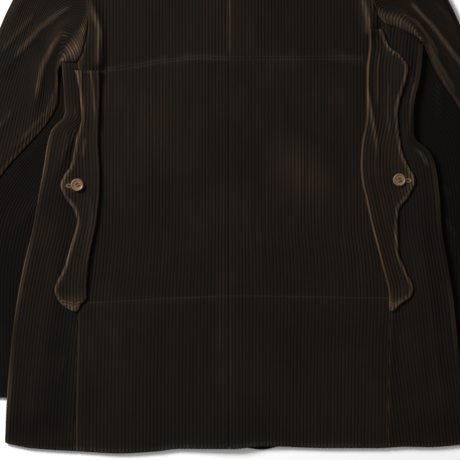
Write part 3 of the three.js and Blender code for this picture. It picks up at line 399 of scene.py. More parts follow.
@dataclass(frozen=True)
class Lay:
    """How the layers of the jacket lie on each other, as heights of the middle of each layer's cloth."""

    floor_layer: float = CLOTH / 2
    back_level: float = 6.9
    back_crown: float = 2.7
    crown_half_width: float = 62.0
    crown_lost_at_hem: float = 0.6
    crown_full_up: Pair = (120.0, 230.0)
    crown_end: float = 30.0
    side_creases_out: Pair = (222.0, 240.0)
    hem_drop: float = 2.2
    hem_drop_up: float = 70.0
    back_waves: float = 0.35
    seam_run_in: float = 34.0
    neck_step: float = 0.7
    lift: float = 5.4
    lift_across: Pair = (-45.0, -5.0)
    lift_above_hem: Pair = (12.0, 62.0)
    lift_past_armpit: Pair = (12.0, 70.0)
    back_share_of_lift: float = 0.75
    underlap: float = CLOTH + 0.7
    button_strip_lift: float = 2.9
    button_strip_fade: float = 62.0
    button_strip_up: Pair = (150.0, 225.0)
    collar_lift: float = 2.6
    collar_fall: float = 56.0
    front_overlap: float = 26.0
    front_neck_up: float = 712.0
    back_length: float = 800.0
    shoulder_step: float = CLOTH + 0.3
    flap_clearance: float = 0.9
    flap_thickness: float = 3.0
    flap_roll: float = 1.6
    flap_roll_wide: float = 0.3
    flap_roll_up: Pair = (215.0, 260.0)
    pleat_height: float = 3.9
    pleat_length: float = 75.0
    pleat_inner: Pair = (-4.0, 3.0)
    pleat_outer: Pair = (-16.0, -4.0)
    pleat_start: Pair = (0.3, 3.0)
    pleat_full: float = 10.0
    front_shorter: float = 3.0
    front_shows: float = 8.0
    front_shows_at: float = 50.0
    front_shows_wide: float = 24.0
    hem_half_width: float = 340.0
    hem_bend_up: float = 150.0
    collar_stand: float = 28.0
    collar_crest: float = 1.4
    outline_bottom: float = -8.5

    @property
    def middle_up(self) -> float:
        """Up of the frame's origin, half way from the lowest point of the hem to the collar's top."""
        top = self.back_length + self.collar_stand + self.collar_crest + CLOTH / 2
        return (top + self.outline_bottom) / 2

    def front_neck(self, out: Array) -> Array:
        """Return up of the front's neck seam, a quarter of an ellipse."""
        share = np.clip(1 - (np.asarray(out, float) / NECK_OUT) ** 2, 0, None)
        return NECK_UP - (NECK_UP - self.front_neck_up) * np.sqrt(share)

    def back_neck(self, out: Array) -> Array:
        """Return up of the back's neck seam."""
        return self.back_length + (NECK_UP - self.back_length) * (np.asarray(out, float) / NECK_OUT) ** 2

    def shoulder(self, out: Array) -> Array:
        """Return up of the shoulder seam's line."""
        return mix(NECK_UP, SHOULDER_UP, (np.asarray(out, float) - NECK_OUT) / (SHOULDER_OUT - NECK_OUT))

    def back_top(self, out: Array) -> Array:
        """Return up of the back's top edge: the neck and then the shoulder seam."""
        return np.where(np.asarray(out) < NECK_OUT, self.back_neck(out), self.shoulder(out))

    def front_top(self, out: Array) -> Array:
        """Return up of the front's top edge: the neck and then the shoulder seam."""
        return np.where(np.asarray(out) < NECK_OUT, self.front_neck(out), self.shoulder(out))

    def sleeve_lift(self, x: Array, up: Array) -> Array:
        """Work out how far the sleeve under the side of the body raises the body.

        Args:
            x: places across.
            up: places up.

        Returns:
            The rise at each place.
        """
        total = np.zeros(np.broadcast(x, up).shape)
        for side in (LEFT, RIGHT):
            inner = side.under_sleeve.read("inner", up)
            across = ramp(np.abs(x) - inner, *self.lift_across)
            past_armpit = ramp(up - side.armpit, *self.lift_past_armpit)
            height = ramp(up, *self.lift_above_hem) * (1 - past_armpit)
            total = np.where(np.sign(x) == side.sign, self.lift * across * height, total)
        return total

    def under_front(self, x: Array, up: Array) -> Array:
        """Work out how far the collar's fall and the buttons below raise the fronts.

        Args:
            x: places across.
            up: places up.

        Returns:
            The rise at each place.
        """
        nearest = np.full(np.broadcast(x, up).shape, FAR)
        for degrees in range(0, 91, 9):
            out = NECK_OUT * math.sin(math.radians(degrees))
            nearest = np.minimum(nearest, np.hypot(np.abs(x) - out, up - self.front_neck(out)))
        collar = self.collar_lift * (1 - ramp(nearest, self.collar_fall + 8, self.collar_fall + 60))
        strip = 1 - ramp(np.abs(x), self.front_overlap + 2, self.button_strip_fade)
        strip = strip * ramp(up, *self.button_strip_up)
        return np.maximum(collar, self.button_strip_lift * strip)

    def front(self, x: Array, up: Array, side: Side) -> Array:
        """Lay a front. The left one is the outer one, so it lies lowest.

        Args:
            x: places across.
            up: places up.
            side: the front's side.

        Returns:
            The height of the middle of its cloth.
        """
        lapped = 0.0
        if side is RIGHT:
            lapped = self.underlap * (1 - ramp(x, self.front_overlap + 5, self.front_overlap + 30))
        return self.floor_layer + self.sleeve_lift(x, up) + self.under_front(x, up) + lapped

    def back(self, x: Array, up: Array) -> Array:
        """Lay the upper cloth: the backs and each front where it wraps round the side.

        Args:
            x: places across.
            up: places up.

        Returns:
            The height of the middle of the cloth.
        """
        out = np.abs(x)
        centre = bell(x, self.crown_half_width)
        crown = 1 - self.crown_lost_at_hem * (1 - ramp(up, *self.crown_full_up))
        crown = self.back_crown * centre * crown
        crown = crown * (1 - ramp(up - self.front_neck_up, 0, self.crown_end))
        hem = self.hem_drop * (1 - centre) * (1 - ramp(up, 0, self.hem_drop_up))
        body = self.back_level + crown - hem + self.back_share_of_lift * self.sleeve_lift(x, up)
        body = body + creases_height(BACK_CREASES, x, up) + self.back_waves * unevenness(x, up)
        side_creases = creases_height(SIDE_CREASES, x, up) * ramp(out, *self.side_creases_out)
        body = body + side_creases + self.pleat(x, up)
        step = np.where(out < NECK_OUT, self.neck_step * (1 - out / NECK_OUT), 0)
        edge = self.front(x, up, LEFT) + self.shoulder_step + step
        return mix(edge, body, ramp(self.back_top(out) - up, 0, self.seam_run_in))

    def pleat(self, x: Array, up: Array) -> Array:
        """Raise the back just above each flap, where the flap's cloth goes on as a pleat.

        Args:
            x: places across.
            up: places up.

        Returns:
            The rise at each place.
        """
        total = np.zeros(np.broadcast(x, up).shape)
        for side in (LEFT, RIGHT):
            end = side.flap.end
            inner = float(side.flap.read("inner", end))
            outer = float(side.flap.read("outer", end))
            out = side.sign * np.asarray(x, float)
            across = ramp(out - inner, *self.pleat_inner) * (1 - ramp(out - outer, *self.pleat_outer))
            along = ramp(up - end, *self.pleat_start)
            along = along * (1 - ramp(up - end, self.pleat_full, self.pleat_length))
            total = total + self.pleat_height * across * along
        return total

    def flap(self, side: Side, x: Array, up: Array) -> Array:
        """Lay a flap over the panels.

        Args:
            side: the flap's side.
            x: places across.
            up: places up.

        Returns:
            The height of the middle of its wall.
        """
        inner = side.flap.read("inner", up)
        outer = side.flap.read("outer", up)
        share = np.clip((np.abs(x) - inner) / (outer - inner), 0, 1)
        roll = self.flap_roll * bell(share, self.flap_roll_wide) * ramp(up, *self.flap_roll_up)
        folds = creases_height(FLAP_CREASES, x, up)
        below = self.back(x, up) + CLOTH / 2 + self.flap_clearance
        return below + self.flap_thickness / 2 + roll + folds

    @staticmethod
    def hem(x: Array) -> Array:
        """Return up of the hem of the back."""
        return HEM.read("up", x)

    def front_hem(self, x: Array) -> Array:
        """Shape the front's hem, a little shorter apart from where it shows below the back's.

        Args:
            x: places across.

        Returns:
            Up of the hem at each place.
        """
        shorter = self.front_shorter * (1 - np.abs(x) / self.hem_half_width)
        shows = self.front_shows * bell(x - self.front_shows_at, self.front_shows_wide)
        return self.hem(x) + shorter - shows

    def bend(self, up: Array, hem: Array) -> Array:
        """Return up of a row's points, bent to the hem at the bottom."""
        return up + hem * (1 - ramp(up, 0, self.hem_bend_up))


LAY = Lay()


@dataclass
class ClothGrid:
    """A piece of cloth as rows of points, with five columns of points to a wale of the corduroy.

    Columns outside a row's live ones, low to high, repeat the point at its edge. Above cut_row the columns
    from cut_column on are missing.
    """

    middle: Array
    normal: Array
    wale: Array
    down: Array
    low: Array
    high: Array
    thickness: float
    # Real wear above 0; below 0 it is painted shade that darkens the cloth.
    wear: Array
    dip: Array
    cut_row: int = -1
    cut_column: int = -1

    def _points(self, distance: Array) -> Array:
        """Return the middle's points moved along their normals, in metres in the row's frame."""
        moved = self.middle + self.normal * distance[..., None]
        return (moved - np.array([0, LAY.middle_up, 0])) * MM

    def _ids(self, step: int, start: int) -> tuple[Array, Array]:
        """Number the live vertices.

        Args:
            step: use every step-th column.
            start: number of the first vertex.

        Returns:
            The number of each grid point's vertex, and the grid points that are vertices, as (row, column).
        """
        rows, columns = self.wale.shape
        picked = np.arange(0, columns, step)
        low = self.low // step
        high = -(-self.high // step)
        counts = high - low + 1
        offsets = start + np.concatenate(([0], np.cumsum(counts)[:-1]))
        place = np.clip(np.arange(len(picked))[None, :], low[:, None], high[:, None])
        ids = offsets[:, None] + place - low[:, None]
        row_of = np.repeat(np.arange(rows), counts)
        column_of = np.concatenate([np.arange(a, b + 1) for a, b in zip(low, high)])
        return ids, np.stack([row_of, picked[column_of]], 1)

    def _faces(self, ids: Array, step: int) -> list[Face]:
        """Join neighbouring rows.

        Args:
            ids: the number of each grid point's vertex.
            step: how many columns apart they are.

        Returns:
            The quads and, where a row has fewer live columns, triangles.
        """
        quads = np.stack([ids[:-1, :-1], ids[:-1, 1:], ids[1:, 1:], ids[1:, :-1]], -1)
        keep = np.ones(quads.shape[:2], bool)
        if self.cut_row >= 0:
            keep[self.cut_row:, self.cut_column // step:] = False
        quads = quads[keep]
        a, b, c, d = quads.T
        whole = (a != b) & (b != c) & (c != d) & (d != a)
        faces = [tuple(q) for q in quads[whole].tolist()]
        lower = (a == b) & (c != d)
        upper = (c == d) & (a != b)
        faces += [tuple(q) for q in quads[lower][:, [0, 2, 3]].tolist()]
        faces += [tuple(q) for q in quads[upper][:, [0, 1, 2]].tolist()]
        return faces

    def _row_rim(self, outer: Array, inner: Array, row: int, first: int, last: int) -> list[Face]:
        """Close the edge along a row, with one face to a wale.

        Args:
            outer: vertices of the outside.
            inner: vertices of the inside.
            row: the row.
            first: column where the edge starts.
            last: column where it ends.

        Returns:
            The faces.
        """
        faces = []
        step = COLUMNS_PER_WALE
        for column in range(first, last, step):
            ring = list(outer[row, column:column + step + 1]) + [
                inner[row, column // step + 1],
                inner[row, column // step],
            ]
            face = [v for i, v in enumerate(ring) if v != ring[i - 1]]
            if len(set(face)) > 2:
                faces.append(tuple(int(v) for v in face))
        return faces

    def _rims(self, outer: Array, inner: Array) -> list[Face]:
        """Close all the edges of the cloth.

        Args:
            outer: vertices of the outside.
            inner: vertices of the inside.

        Returns:
            The faces.
        """
        rows, columns = self.wale.shape
        last = columns - 1
        step = COLUMNS_PER_WALE
        faces = self._row_rim(outer, inner, 0, 0, last)
        faces += self._row_rim(outer, inner, rows - 1, 0, last)
        if self.cut_row >= 0:
            faces += self._row_rim(outer, inner, self.cut_row, self.cut_column, last)
        for edge in (0, last):
            for i in range(rows - 1):
                at = self.cut_column if i == self.cut_row and edge == last else edge
                faces.append((
                    int(outer[i, at]), int(outer[i + 1, edge]),
                    int(inner[i + 1, edge // step]), int(inner[i, at // step]),
                ))
        return faces

    def build(self, name: str) -> bpy.types.Object:
        """Make the closed mesh: ribbed outside, plain inside and a rim round it.

        Args:
            name: name of the object.

        Returns:
            The object, with the wales' height, the wear value (real wear above 0, painted shade below 0) and
            the flat cloth's places as attributes.
        """
        phase = np.mod(self.wale / WALE_PITCH + TINY, 1.0)
        crest = np.sin(np.pi * phase) ** WALE_ROUNDNESS
        turned_under = self.normal[..., 2] <= -0.2
        proud = np.where(turned_under, 0.0, PROUD)
        pressed = PRESSED + PRESSED_VARIES * unevenness(2.3 * self.wale, 0.8 * self.down)
        outward = self.thickness / 2 + proud - WALE_DEPTH * pressed * (1 - crest) - self.dip
        inward = np.full(self.wale.shape, -self.thickness / 2)
        outer_ids, outer_at = self._ids(1, 0)
        inner_ids, inner_at = self._ids(COLUMNS_PER_WALE, len(outer_at))
        outer_xyz = self._points(outward)[outer_at[:, 0], outer_at[:, 1]]
        inner_xyz = self._points(inward)[inner_at[:, 0], inner_at[:, 1]]
        faces = self._faces(outer_ids, 1)
        faces += [face[::-1] for face in self._faces(inner_ids, COLUMNS_PER_WALE)]
        faces += self._rims(outer_ids, inner_ids)
        mesh = bpy.data.meshes.new(name)
        mesh.from_pydata(np.concatenate([outer_xyz, inner_xyz]).tolist(), [], faces)
        inside = np.ones(len(inner_at))
        outer_wear = np.clip(self.wear, -1, 1)[outer_at[:, 0], outer_at[:, 1]]
        outer_crest = crest[outer_at[:, 0], outer_at[:, 1]]
        self._store(mesh, "crest", np.concatenate([outer_crest, INSIDE_CREST * inside]))
        self._store(mesh, "wear", np.concatenate([outer_wear, 0 * inside]))
        self._store_flat(mesh, np.concatenate([outer_at, inner_at]))
        return finish_mesh(name, mesh)

    @staticmethod
    def _store(mesh: bpy.types.Mesh, name: str, values: Array) -> None:
        """Keep a value for each vertex as an attribute."""
        data = mesh.attributes.new(name, "FLOAT", "POINT").data
        data.foreach_set("value", values.astype(np.float32))

    def _store_flat(self, mesh: bpy.types.Mesh, at: Array) -> None:
        """Keep each vertex's place on the flat cloth, in metres, as a UV map.

        Args:
            mesh: the cloth's mesh.
            at: each vertex's row and column.
        """
        flat = np.stack([self.wale[at[:, 0], at[:, 1]], self.down[at[:, 0], at[:, 1]]], 1) * MM
        corners = np.zeros(len(mesh.loops), np.int32)
        mesh.loops.foreach_get("vertex_index", corners)
        layer = mesh.uv_layers.new(name="flat_cloth")
        layer.data.foreach_set("uv", flat[corners].astype(np.float32).ravel())

    def flat_area(self) -> float:
        """Measure the cloth.

        Returns:
            The area of its middle in square metres.
        """
        p = self.middle * MM
        diagonal_a = p[1:, 1:] - p[:-1, :-1]
        diagonal_b = p[1:, :-1] - p[:-1, 1:]
        area = np.linalg.norm(np.cross(diagonal_a, diagonal_b), axis=-1) / 2
        if self.cut_row >= 0:
            area[self.cut_row:, self.cut_column:] = 0
        return float(area.sum())


def add_object(name: str, data: bpy.types.ID) -> bpy.types.Object:
    """Put a new object in the scene.

    Args:
        name: its name.
        data: its mesh, light or camera.

    Returns:
        The object.
    """
    thing = bpy.data.objects.new(name, data)
    bpy.context.scene.collection.objects.link(thing)
    return thing


def finish_mesh(name: str, mesh: bpy.types.Mesh) -> bpy.types.Object:
    """Turn a mesh's faces out, smooth it and put it in the scene on the jacket's body.

    Args:
        name: name of the object.
        mesh: the mesh.

    Returns:
        The new object.
    """
    work = bmesh.new()
    work.from_mesh(mesh)
    bmesh.ops.recalc_face_normals(work, faces=work.faces)
    work.to_mesh(mesh)
    work.free()
    mesh.shade_smooth()
    mesh.name = name
    piece = add_object(name, mesh)
    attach(piece, BODY)
    return piece


def finish_small(work: bmesh.types.BMesh, name: str, finish: "Finish") -> bpy.types.Object:
    """Turn a small mesh into a dressed piece.

    Args:
        work: the mesh in the making, which is freed.
        name: name of the piece.
        finish: what it is made of.

    Returns:
        The piece.
    """
    mesh = bpy.data.meshes.new(name)
    work.to_mesh(mesh)
    work.free()
    piece = finish_mesh(name, mesh)
    finish.dress(piece)
    return piece


def join_rings(work: bmesh.types.BMesh, rings: Sequence[Sequence[Vector]]) -> None:
    """Add a closed form that runs through rings of points.

    Args:
        work: the mesh in the making.
        rings: the rings, each with as many points as the next.
    """
    rings = [[work.verts.new(point) for point in ring] for ring in rings]
    for a, b in zip(rings, rings[1:]):
        for i in range(len(a)):
            j = (i + 1) % len(a)
            work.faces.new((a[i], a[j], b[j], b[i]))
    work.faces.new(rings[0])
    work.faces.new(rings[-1])


def in_frame(point: Vector) -> Vector:
    """Return a point in metres in the row's frame."""
    return (point - Vector((0, LAY.middle_up, 0))) * MM


def around(a: Vector, b: Vector, turn: float) -> Vector:
    """Return the way that is an angle round from a towards b."""
    return a * math.cos(turn) + b * math.sin(turn)


def turns(count: int) -> list[float]:
    """Return evenly spaced angles of a whole turn."""
    return [2 * math.pi * i / count for i in range(count)]


def wale_columns(start: float, end: float) -> Array:
    """Place columns of points across the wales.

    Args:
        start: where the cloth starts; the first column is the last valley before it.
        end: where it ends; the last column is the first valley after it.

    Returns:
        The columns' places.
    """
    first = math.floor(start / WALE_PITCH)
    last = math.ceil(end / WALE_PITCH)
    places = [WALE_PITCH * (n + phase) for n in range(first, last) for phase in COLUMN_PHASES]
    return np.array([*places, WALE_PITCH * last])


def spaced_rows(start: float, end: float, step: float, extra: Iterable[float] = ()) -> Array:
    """Space rows evenly and put extra ones in.

    Args:
        start: the first row.
        end: the last row.
        step: about how far apart the rows are.
        extra: more rows, of which those inside are used.

    Returns:
        The rows' places.
    """
    even = np.linspace(start, end, max(2, round((end - start) / step) + 1))
    inside = [v for v in extra if start < v < end]
    rows = np.unique(np.concatenate([even, inside]))
    keep = np.concatenate(([True], np.diff(rows) > 0.04 * step))
    keep[-1] = True
    return rows[keep]


def live_columns(w: Array, low_w: Array, high_w: Array) -> tuple[Array, Array]:
    """Find the columns that each row has.

    Args:
        w: the columns' places across the wales.
        low_w: each row's low edge.
        high_w: each row's high edge.

    Returns:
        For each row, the last column at or before its low edge and the first at or after its high one.
    """
    low = np.searchsorted(w, low_w + TINY, side="right") - 1
    high = np.searchsorted(w, high_w - TINY, side="left")
    return np.clip(low, 0, len(w) - 2), np.clip(high, 1, len(w) - 1)


def upright(shape: tuple[int, ...], direction: float = 1.0) -> Array:
    """Return normals that all point up, or down with a direction of -1."""
    return np.broadcast_to(np.array([0.0, 0.0, direction]), (*shape, 3))


def seam_dip(distance: Array, depth: float = 0.75, wide: float = 1.9) -> Array:
    """Return how far cloth turns down towards a seam at a distance from it."""
    return depth * bell(distance, wide)


def stitch_groove(distance: Array, depth: float = 0.42, wide: float = 1.5) -> Array:
    """Return how far stitches pull the pile down at a distance from their line."""
    return depth * bell(distance, wide)


def hem_serration(wale: Array, row_up: Array, depth: float = 0.7, roundness: float = 0.6) -> Array:
    """Return how far the ribs' ends reach down past the valleys along the hem."""
    ribs = depth * np.sin(np.pi * np.mod(wale / WALE_PITCH, 1)) ** roundness
    return ribs * bell(row_up, 1.2)


def by_layer(is_upper: Array, is_lower: Array, upper: Array, lower: Array, turn: Array) -> Array:
    """Return a value for each point, by whether it is on the upper layer, the lower one or the turn."""
    return np.where(is_upper, upper, np.where(is_lower, lower, turn))


def leaning(sign: int, lean: Array) -> Array:
    """Return normals that lean outwards from straight up by an angle, towards the side of a sign."""
    return np.stack([sign * np.sin(lean), np.zeros_like(lean), np.cos(lean)], -1)


class Paint:
    """A material in the making, with the nodes that the finishes share."""

    def __init__(self, name: str) -> None:
        """Start a material of this name."""
        self.material = bpy.data.materials.new(name)
        self.material.use_nodes = True

    def fill(self, node: bpy.types.Node, inputs: Inputs) -> bpy.types.Node:
        """Set or link a node's inputs.

        Args:
            node: the node.
            inputs: a value, a colour or a socket for each input, by its name or number.

        Returns:
            The node.
        """
        for key, value in inputs.items():
            socket = node.inputs[key]
            if isinstance(value, Socket):
                self.material.node_tree.links.new(value, socket)
            else:
                socket.default_value = (*value, 1) if socket.type == "RGBA" else value
        return node

    def node(self, kind: str, inputs: Inputs, **settings: str) -> bpy.types.Node:
        """Add a node.

        Args:
            kind: its type.
            inputs: a value, a colour or a socket for each input, by its name or number.
            settings: its other settings.

        Returns:
            The node.
        """
        node = self.material.node_tree.nodes.new(kind)
        for name, value in settings.items():
            setattr(node, name, value)
        return self.fill(node, inputs)

    def attribute(self, name: str) -> Socket:
        """Return an attribute of the mesh."""
        return self.node("ShaderNodeAttribute", {}, attribute_name=name).outputs["Fac"]

    def place(self) -> Socket:
        """Return places in the object's own space."""
        return self.node("ShaderNodeTexCoord", {}).outputs["Object"]

    def flat_cloth(self) -> Socket:
        """Return places on the flat cloth."""
        return self.node("ShaderNodeUVMap", {}, uv_map="flat_cloth").outputs["UV"]

    def stretched(self, where: Socket, scale: Colour) -> Socket:
        """Return texture places scaled by an amount for each axis."""
        return self.node("ShaderNodeMapping", {"Vector": where, "Scale": scale}).outputs["Vector"]

    def noise(self, where: Socket, scale: float, detail: float, distortion: float = 0.0) -> Socket:
        """Return the value of a noise texture."""
        inputs = {"Vector": where, "Scale": scale, "Detail": detail, "Distortion": distortion}
        return self.node("ShaderNodeTexNoise", inputs).outputs["Fac"]

    def span(self, value: Socket, low: float, high: float) -> Socket:
        """Return a value that goes from 0 at low to 1 at high, with no more beyond."""
        inputs = {"Value": value, "From Min": low, "From Max": high}
        return self.node("ShaderNodeMapRange", inputs).outputs["Result"]

    def times(self, a: Socket, b: Socket) -> Socket:
        """Return the product of two values."""
        return self.node("ShaderNodeMath", {0: a, 1: b}, operation="MULTIPLY").outputs["Value"]

    def blend(self, share: Socket, a: Colour | Socket, b: Colour | Socket) -> Socket:
        """Return colours a and b blended by b's share."""
        inputs = {0: share, FIRST_COLOUR: a, SECOND_COLOUR: b}
        return self.node("ShaderNodeMix", inputs, data_type="RGBA").outputs[BLENDED_COLOUR]

    def bump(self, height: Socket, strength: float, depth_m: float) -> Socket:
        """Return normals for a fine relief."""
        inputs = {"Height": height, "Strength": strength, "Distance": depth_m}
        return self.node("ShaderNodeBump", inputs).outputs["Normal"]

    def finished(self, inputs: Inputs) -> bpy.types.Material:
        """Return the material, with its shader's inputs filled."""
        self.fill(self.material.node_tree.nodes["Principled BSDF"], inputs)
        return self.material


@dataclass(frozen=True)
class Corduroy:
    """Wide-wale cotton corduroy: valleys painted darker than the crests as shade in the grooves, a pile that
    wears to brown along edges and folds, and painted shade where the wear value is below 0.
    """

    name: str = "wide_wale_corduroy"
    # Painted shade: the valleys between the wales are coloured darker than the pile on the crests.
    valley: Colour = (0.0050, 0.0045, 0.0038)
    pile: Colour = (0.0080, 0.0068, 0.0055)
    faded: Colour = (0.0140, 0.0092, 0.0066)
    worn: Colour = (0.17, 0.106, 0.062)
    dusty: Colour = (0.034, 0.023, 0.015)
    # Painted shade: near-black colour laid over cloth whose wear value is below 0.
    shaded: Colour = (0.0016, 0.0016, 0.0015)
    streaks: Colour = (150, 9, 1)
    fibres: Colour = (1700, 900, 1)
    roughness: float = 0.88
    specular: float = 0.02
    sheen: float = 0.006
    sheen_roughness: float = 0.4
    sheen_tint: Colour = (0.75, 0.55, 0.4)

    def make(self) -> bpy.types.Material:
        """Colour the cloth by its ribs, its wear and its fading, with painted shade in the valleys and where
        the wear value is below 0.

        Returns:
            The material.
        """
        paint = Paint(self.name)
        crest = paint.attribute("crest")
        # The wear attribute holds real wear above 0 and painted shade below 0.
        wear = paint.attribute("wear")
        flat = paint.flat_cloth()
        patches = paint.noise(paint.place(), scale=7, detail=4)
        streaks = paint.noise(paint.stretched(flat, self.streaks), scale=1, detail=3)
        fibres = paint.noise(paint.stretched(flat, self.fibres), scale=1, detail=2)
        fade = paint.times(paint.span(patches, 0.42, 0.62), paint.span(streaks, 0.2, 0.7))
        pile = paint.blend(fade, self.pile, self.faded)
        rubbed = paint.times(wear, paint.span(crest, 0.45, 0.95))
        rubbed = paint.times(rubbed, paint.span(streaks, 0.15, 0.6))
        rubbed = paint.times(rubbed, paint.span(fibres, 0.1, 0.75))
        top = paint.blend(rubbed, pile, self.worn)
        # The valley colour in the grooves is painted shade; a wear value below 0 also pulls the crests down
        # to it as painted shade.
        depth = paint.times(paint.span(crest, 0.05, 0.85), paint.span(wear, -1, 0))
        hollow = paint.blend(wear, self.valley, self.dusty)
        colour = paint.blend(depth, hollow, top)
        # Painted shade: cloth with a wear value below 0 is blended towards the shaded colour.
        colour = paint.blend(paint.span(wear, -1, -0.1), self.shaded, colour)
        return paint.finished({
            "Base Color": colour,
            "Roughness": self.roughness,
            "Normal": paint.bump(fibres, strength=0.35, depth_m=0.0004),
            "Specular IOR Level": self.specular,
            "Sheen Weight": self.sheen,
            "Sheen Roughness": self.sheen_roughness,
            "Sheen Tint": self.sheen_tint,
        })


@dataclass(frozen=True)
class Horn:
    """Mottled tan-brown button material with a satin face."""

    name: str = "mottled_horn"
    light: Colour = (0.22, 0.115, 0.048)
    dark: Colour = (0.05, 0.025, 0.012)
    roughness: float = 0.42

    def make(self) -> bpy.types.Material:
        """Swirl the light and the dark horn and give it a fine grain.

        Returns:
            The material.
        """
        paint = Paint(self.name)
        place = paint.place()
        swirl = paint.noise(place, scale=300, detail=5, distortion=2.5)
        colour = paint.blend(paint.span(swirl, 0.38, 0.62), self.light, self.dark)
        grain = paint.bump(paint.noise(place, scale=1500, detail=2), strength=0.2, depth_m=0.0002)
        return paint.finished({"Base Color": colour, "Normal": grain, "Roughness": self.roughness})


@dataclass(frozen=True)
class Thread:
    """Twisted sewing thread."""

    name: str
    colour: Colour
    shade: Colour
    roughness: float = 0.7

    def make(self) -> bpy.types.Material:
        """Shade the thread along its twist.

        Returns:
            The material.
        """
        paint = Paint(self.name)
        twist = paint.noise(paint.place(), scale=2400, detail=1)
        colour = paint.blend(paint.span(twist, 0.3, 0.7), self.shade, self.colour)
        return paint.finished({"Base Color": colour, "Roughness": self.roughness})


@dataclass(frozen=True)
class PaleFloor:
    """Plain white paper under the jacket."""

    name: str = "pale_floor"
    colour: Colour = (0.93, 0.93, 0.93)
    lighter: Colour = (0.95, 0.95, 0.95)
    roughness: float = 0.95

    def make(self) -> bpy.types.Material:
        """Give the paper a faint tooth.

        Returns:
            The material.
        """
        paint = Paint(self.name)
        tooth = paint.noise(paint.place(), scale=300, detail=2)
        colour = paint.blend(tooth, self.colour, self.lighter)
        return paint.finished({"Base Color": colour, "Roughness": self.roughness})


class Finish(Enum):
    """The finishes of the jacket, each made once."""

    CORDUROY = Corduroy()
    HORN = Horn()
    SEAM_THREAD = Thread("seam_thread", (0.014, 0.0105, 0.008), (0.007, 0.0055, 0.0045))
    WORN_THREAD = Thread("buttonhole_thread", (0.2, 0.125, 0.066), (0.06, 0.036, 0.02))
    # Painted shade: near-black stand-in for the shade in the buttonholes' slits and the buttons' holes.
    DARK = Thread("painted_shade_gap", (0.002, 0.0016, 0.0014), (0.001, 0.0009, 0.0008))
    FLOOR = PaleFloor()

    def material(self) -> bpy.types.Material:
        """Return the finish's material, made when it is first asked for."""
        return bpy.data.materials.get(self.value.name) or self.value.make()

    def dress(self, piece: bpy.types.Object) -> None:
        """Give a piece this finish alone."""
        piece.data.materials.clear()
        piece.data.materials.append(self.material())


@dataclass
class ClothPiece:
    """A cut piece of the jacket's corduroy."""

    side: Side
    kind: str = ""
    left_flat_m: Pair = (0.0, 0.0)
    right_flat_m: Pair = (0.0, 0.0)

    @property
    def node(self) -> str:
        """Name of the CAD node that the piece stands for."""
        return f"{self.kind}_{self.side.name}"

    def grid(self) -> ClothGrid:
        """Return the piece's rows of points."""
        raise NotImplementedError

    def build(self) -> bpy.types.Object:
        """Returns:
            The object.
        """
        grid = self.grid()
        piece = grid.build(f"{self.node}_cloth")
        Finish.CORDUROY.dress(piece)
        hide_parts(self.node)
        area = grid.flat_area()
        log.info("%s: %d faces, %.3f square metres", piece.name, len(piece.data.polygons), area)
        return piece


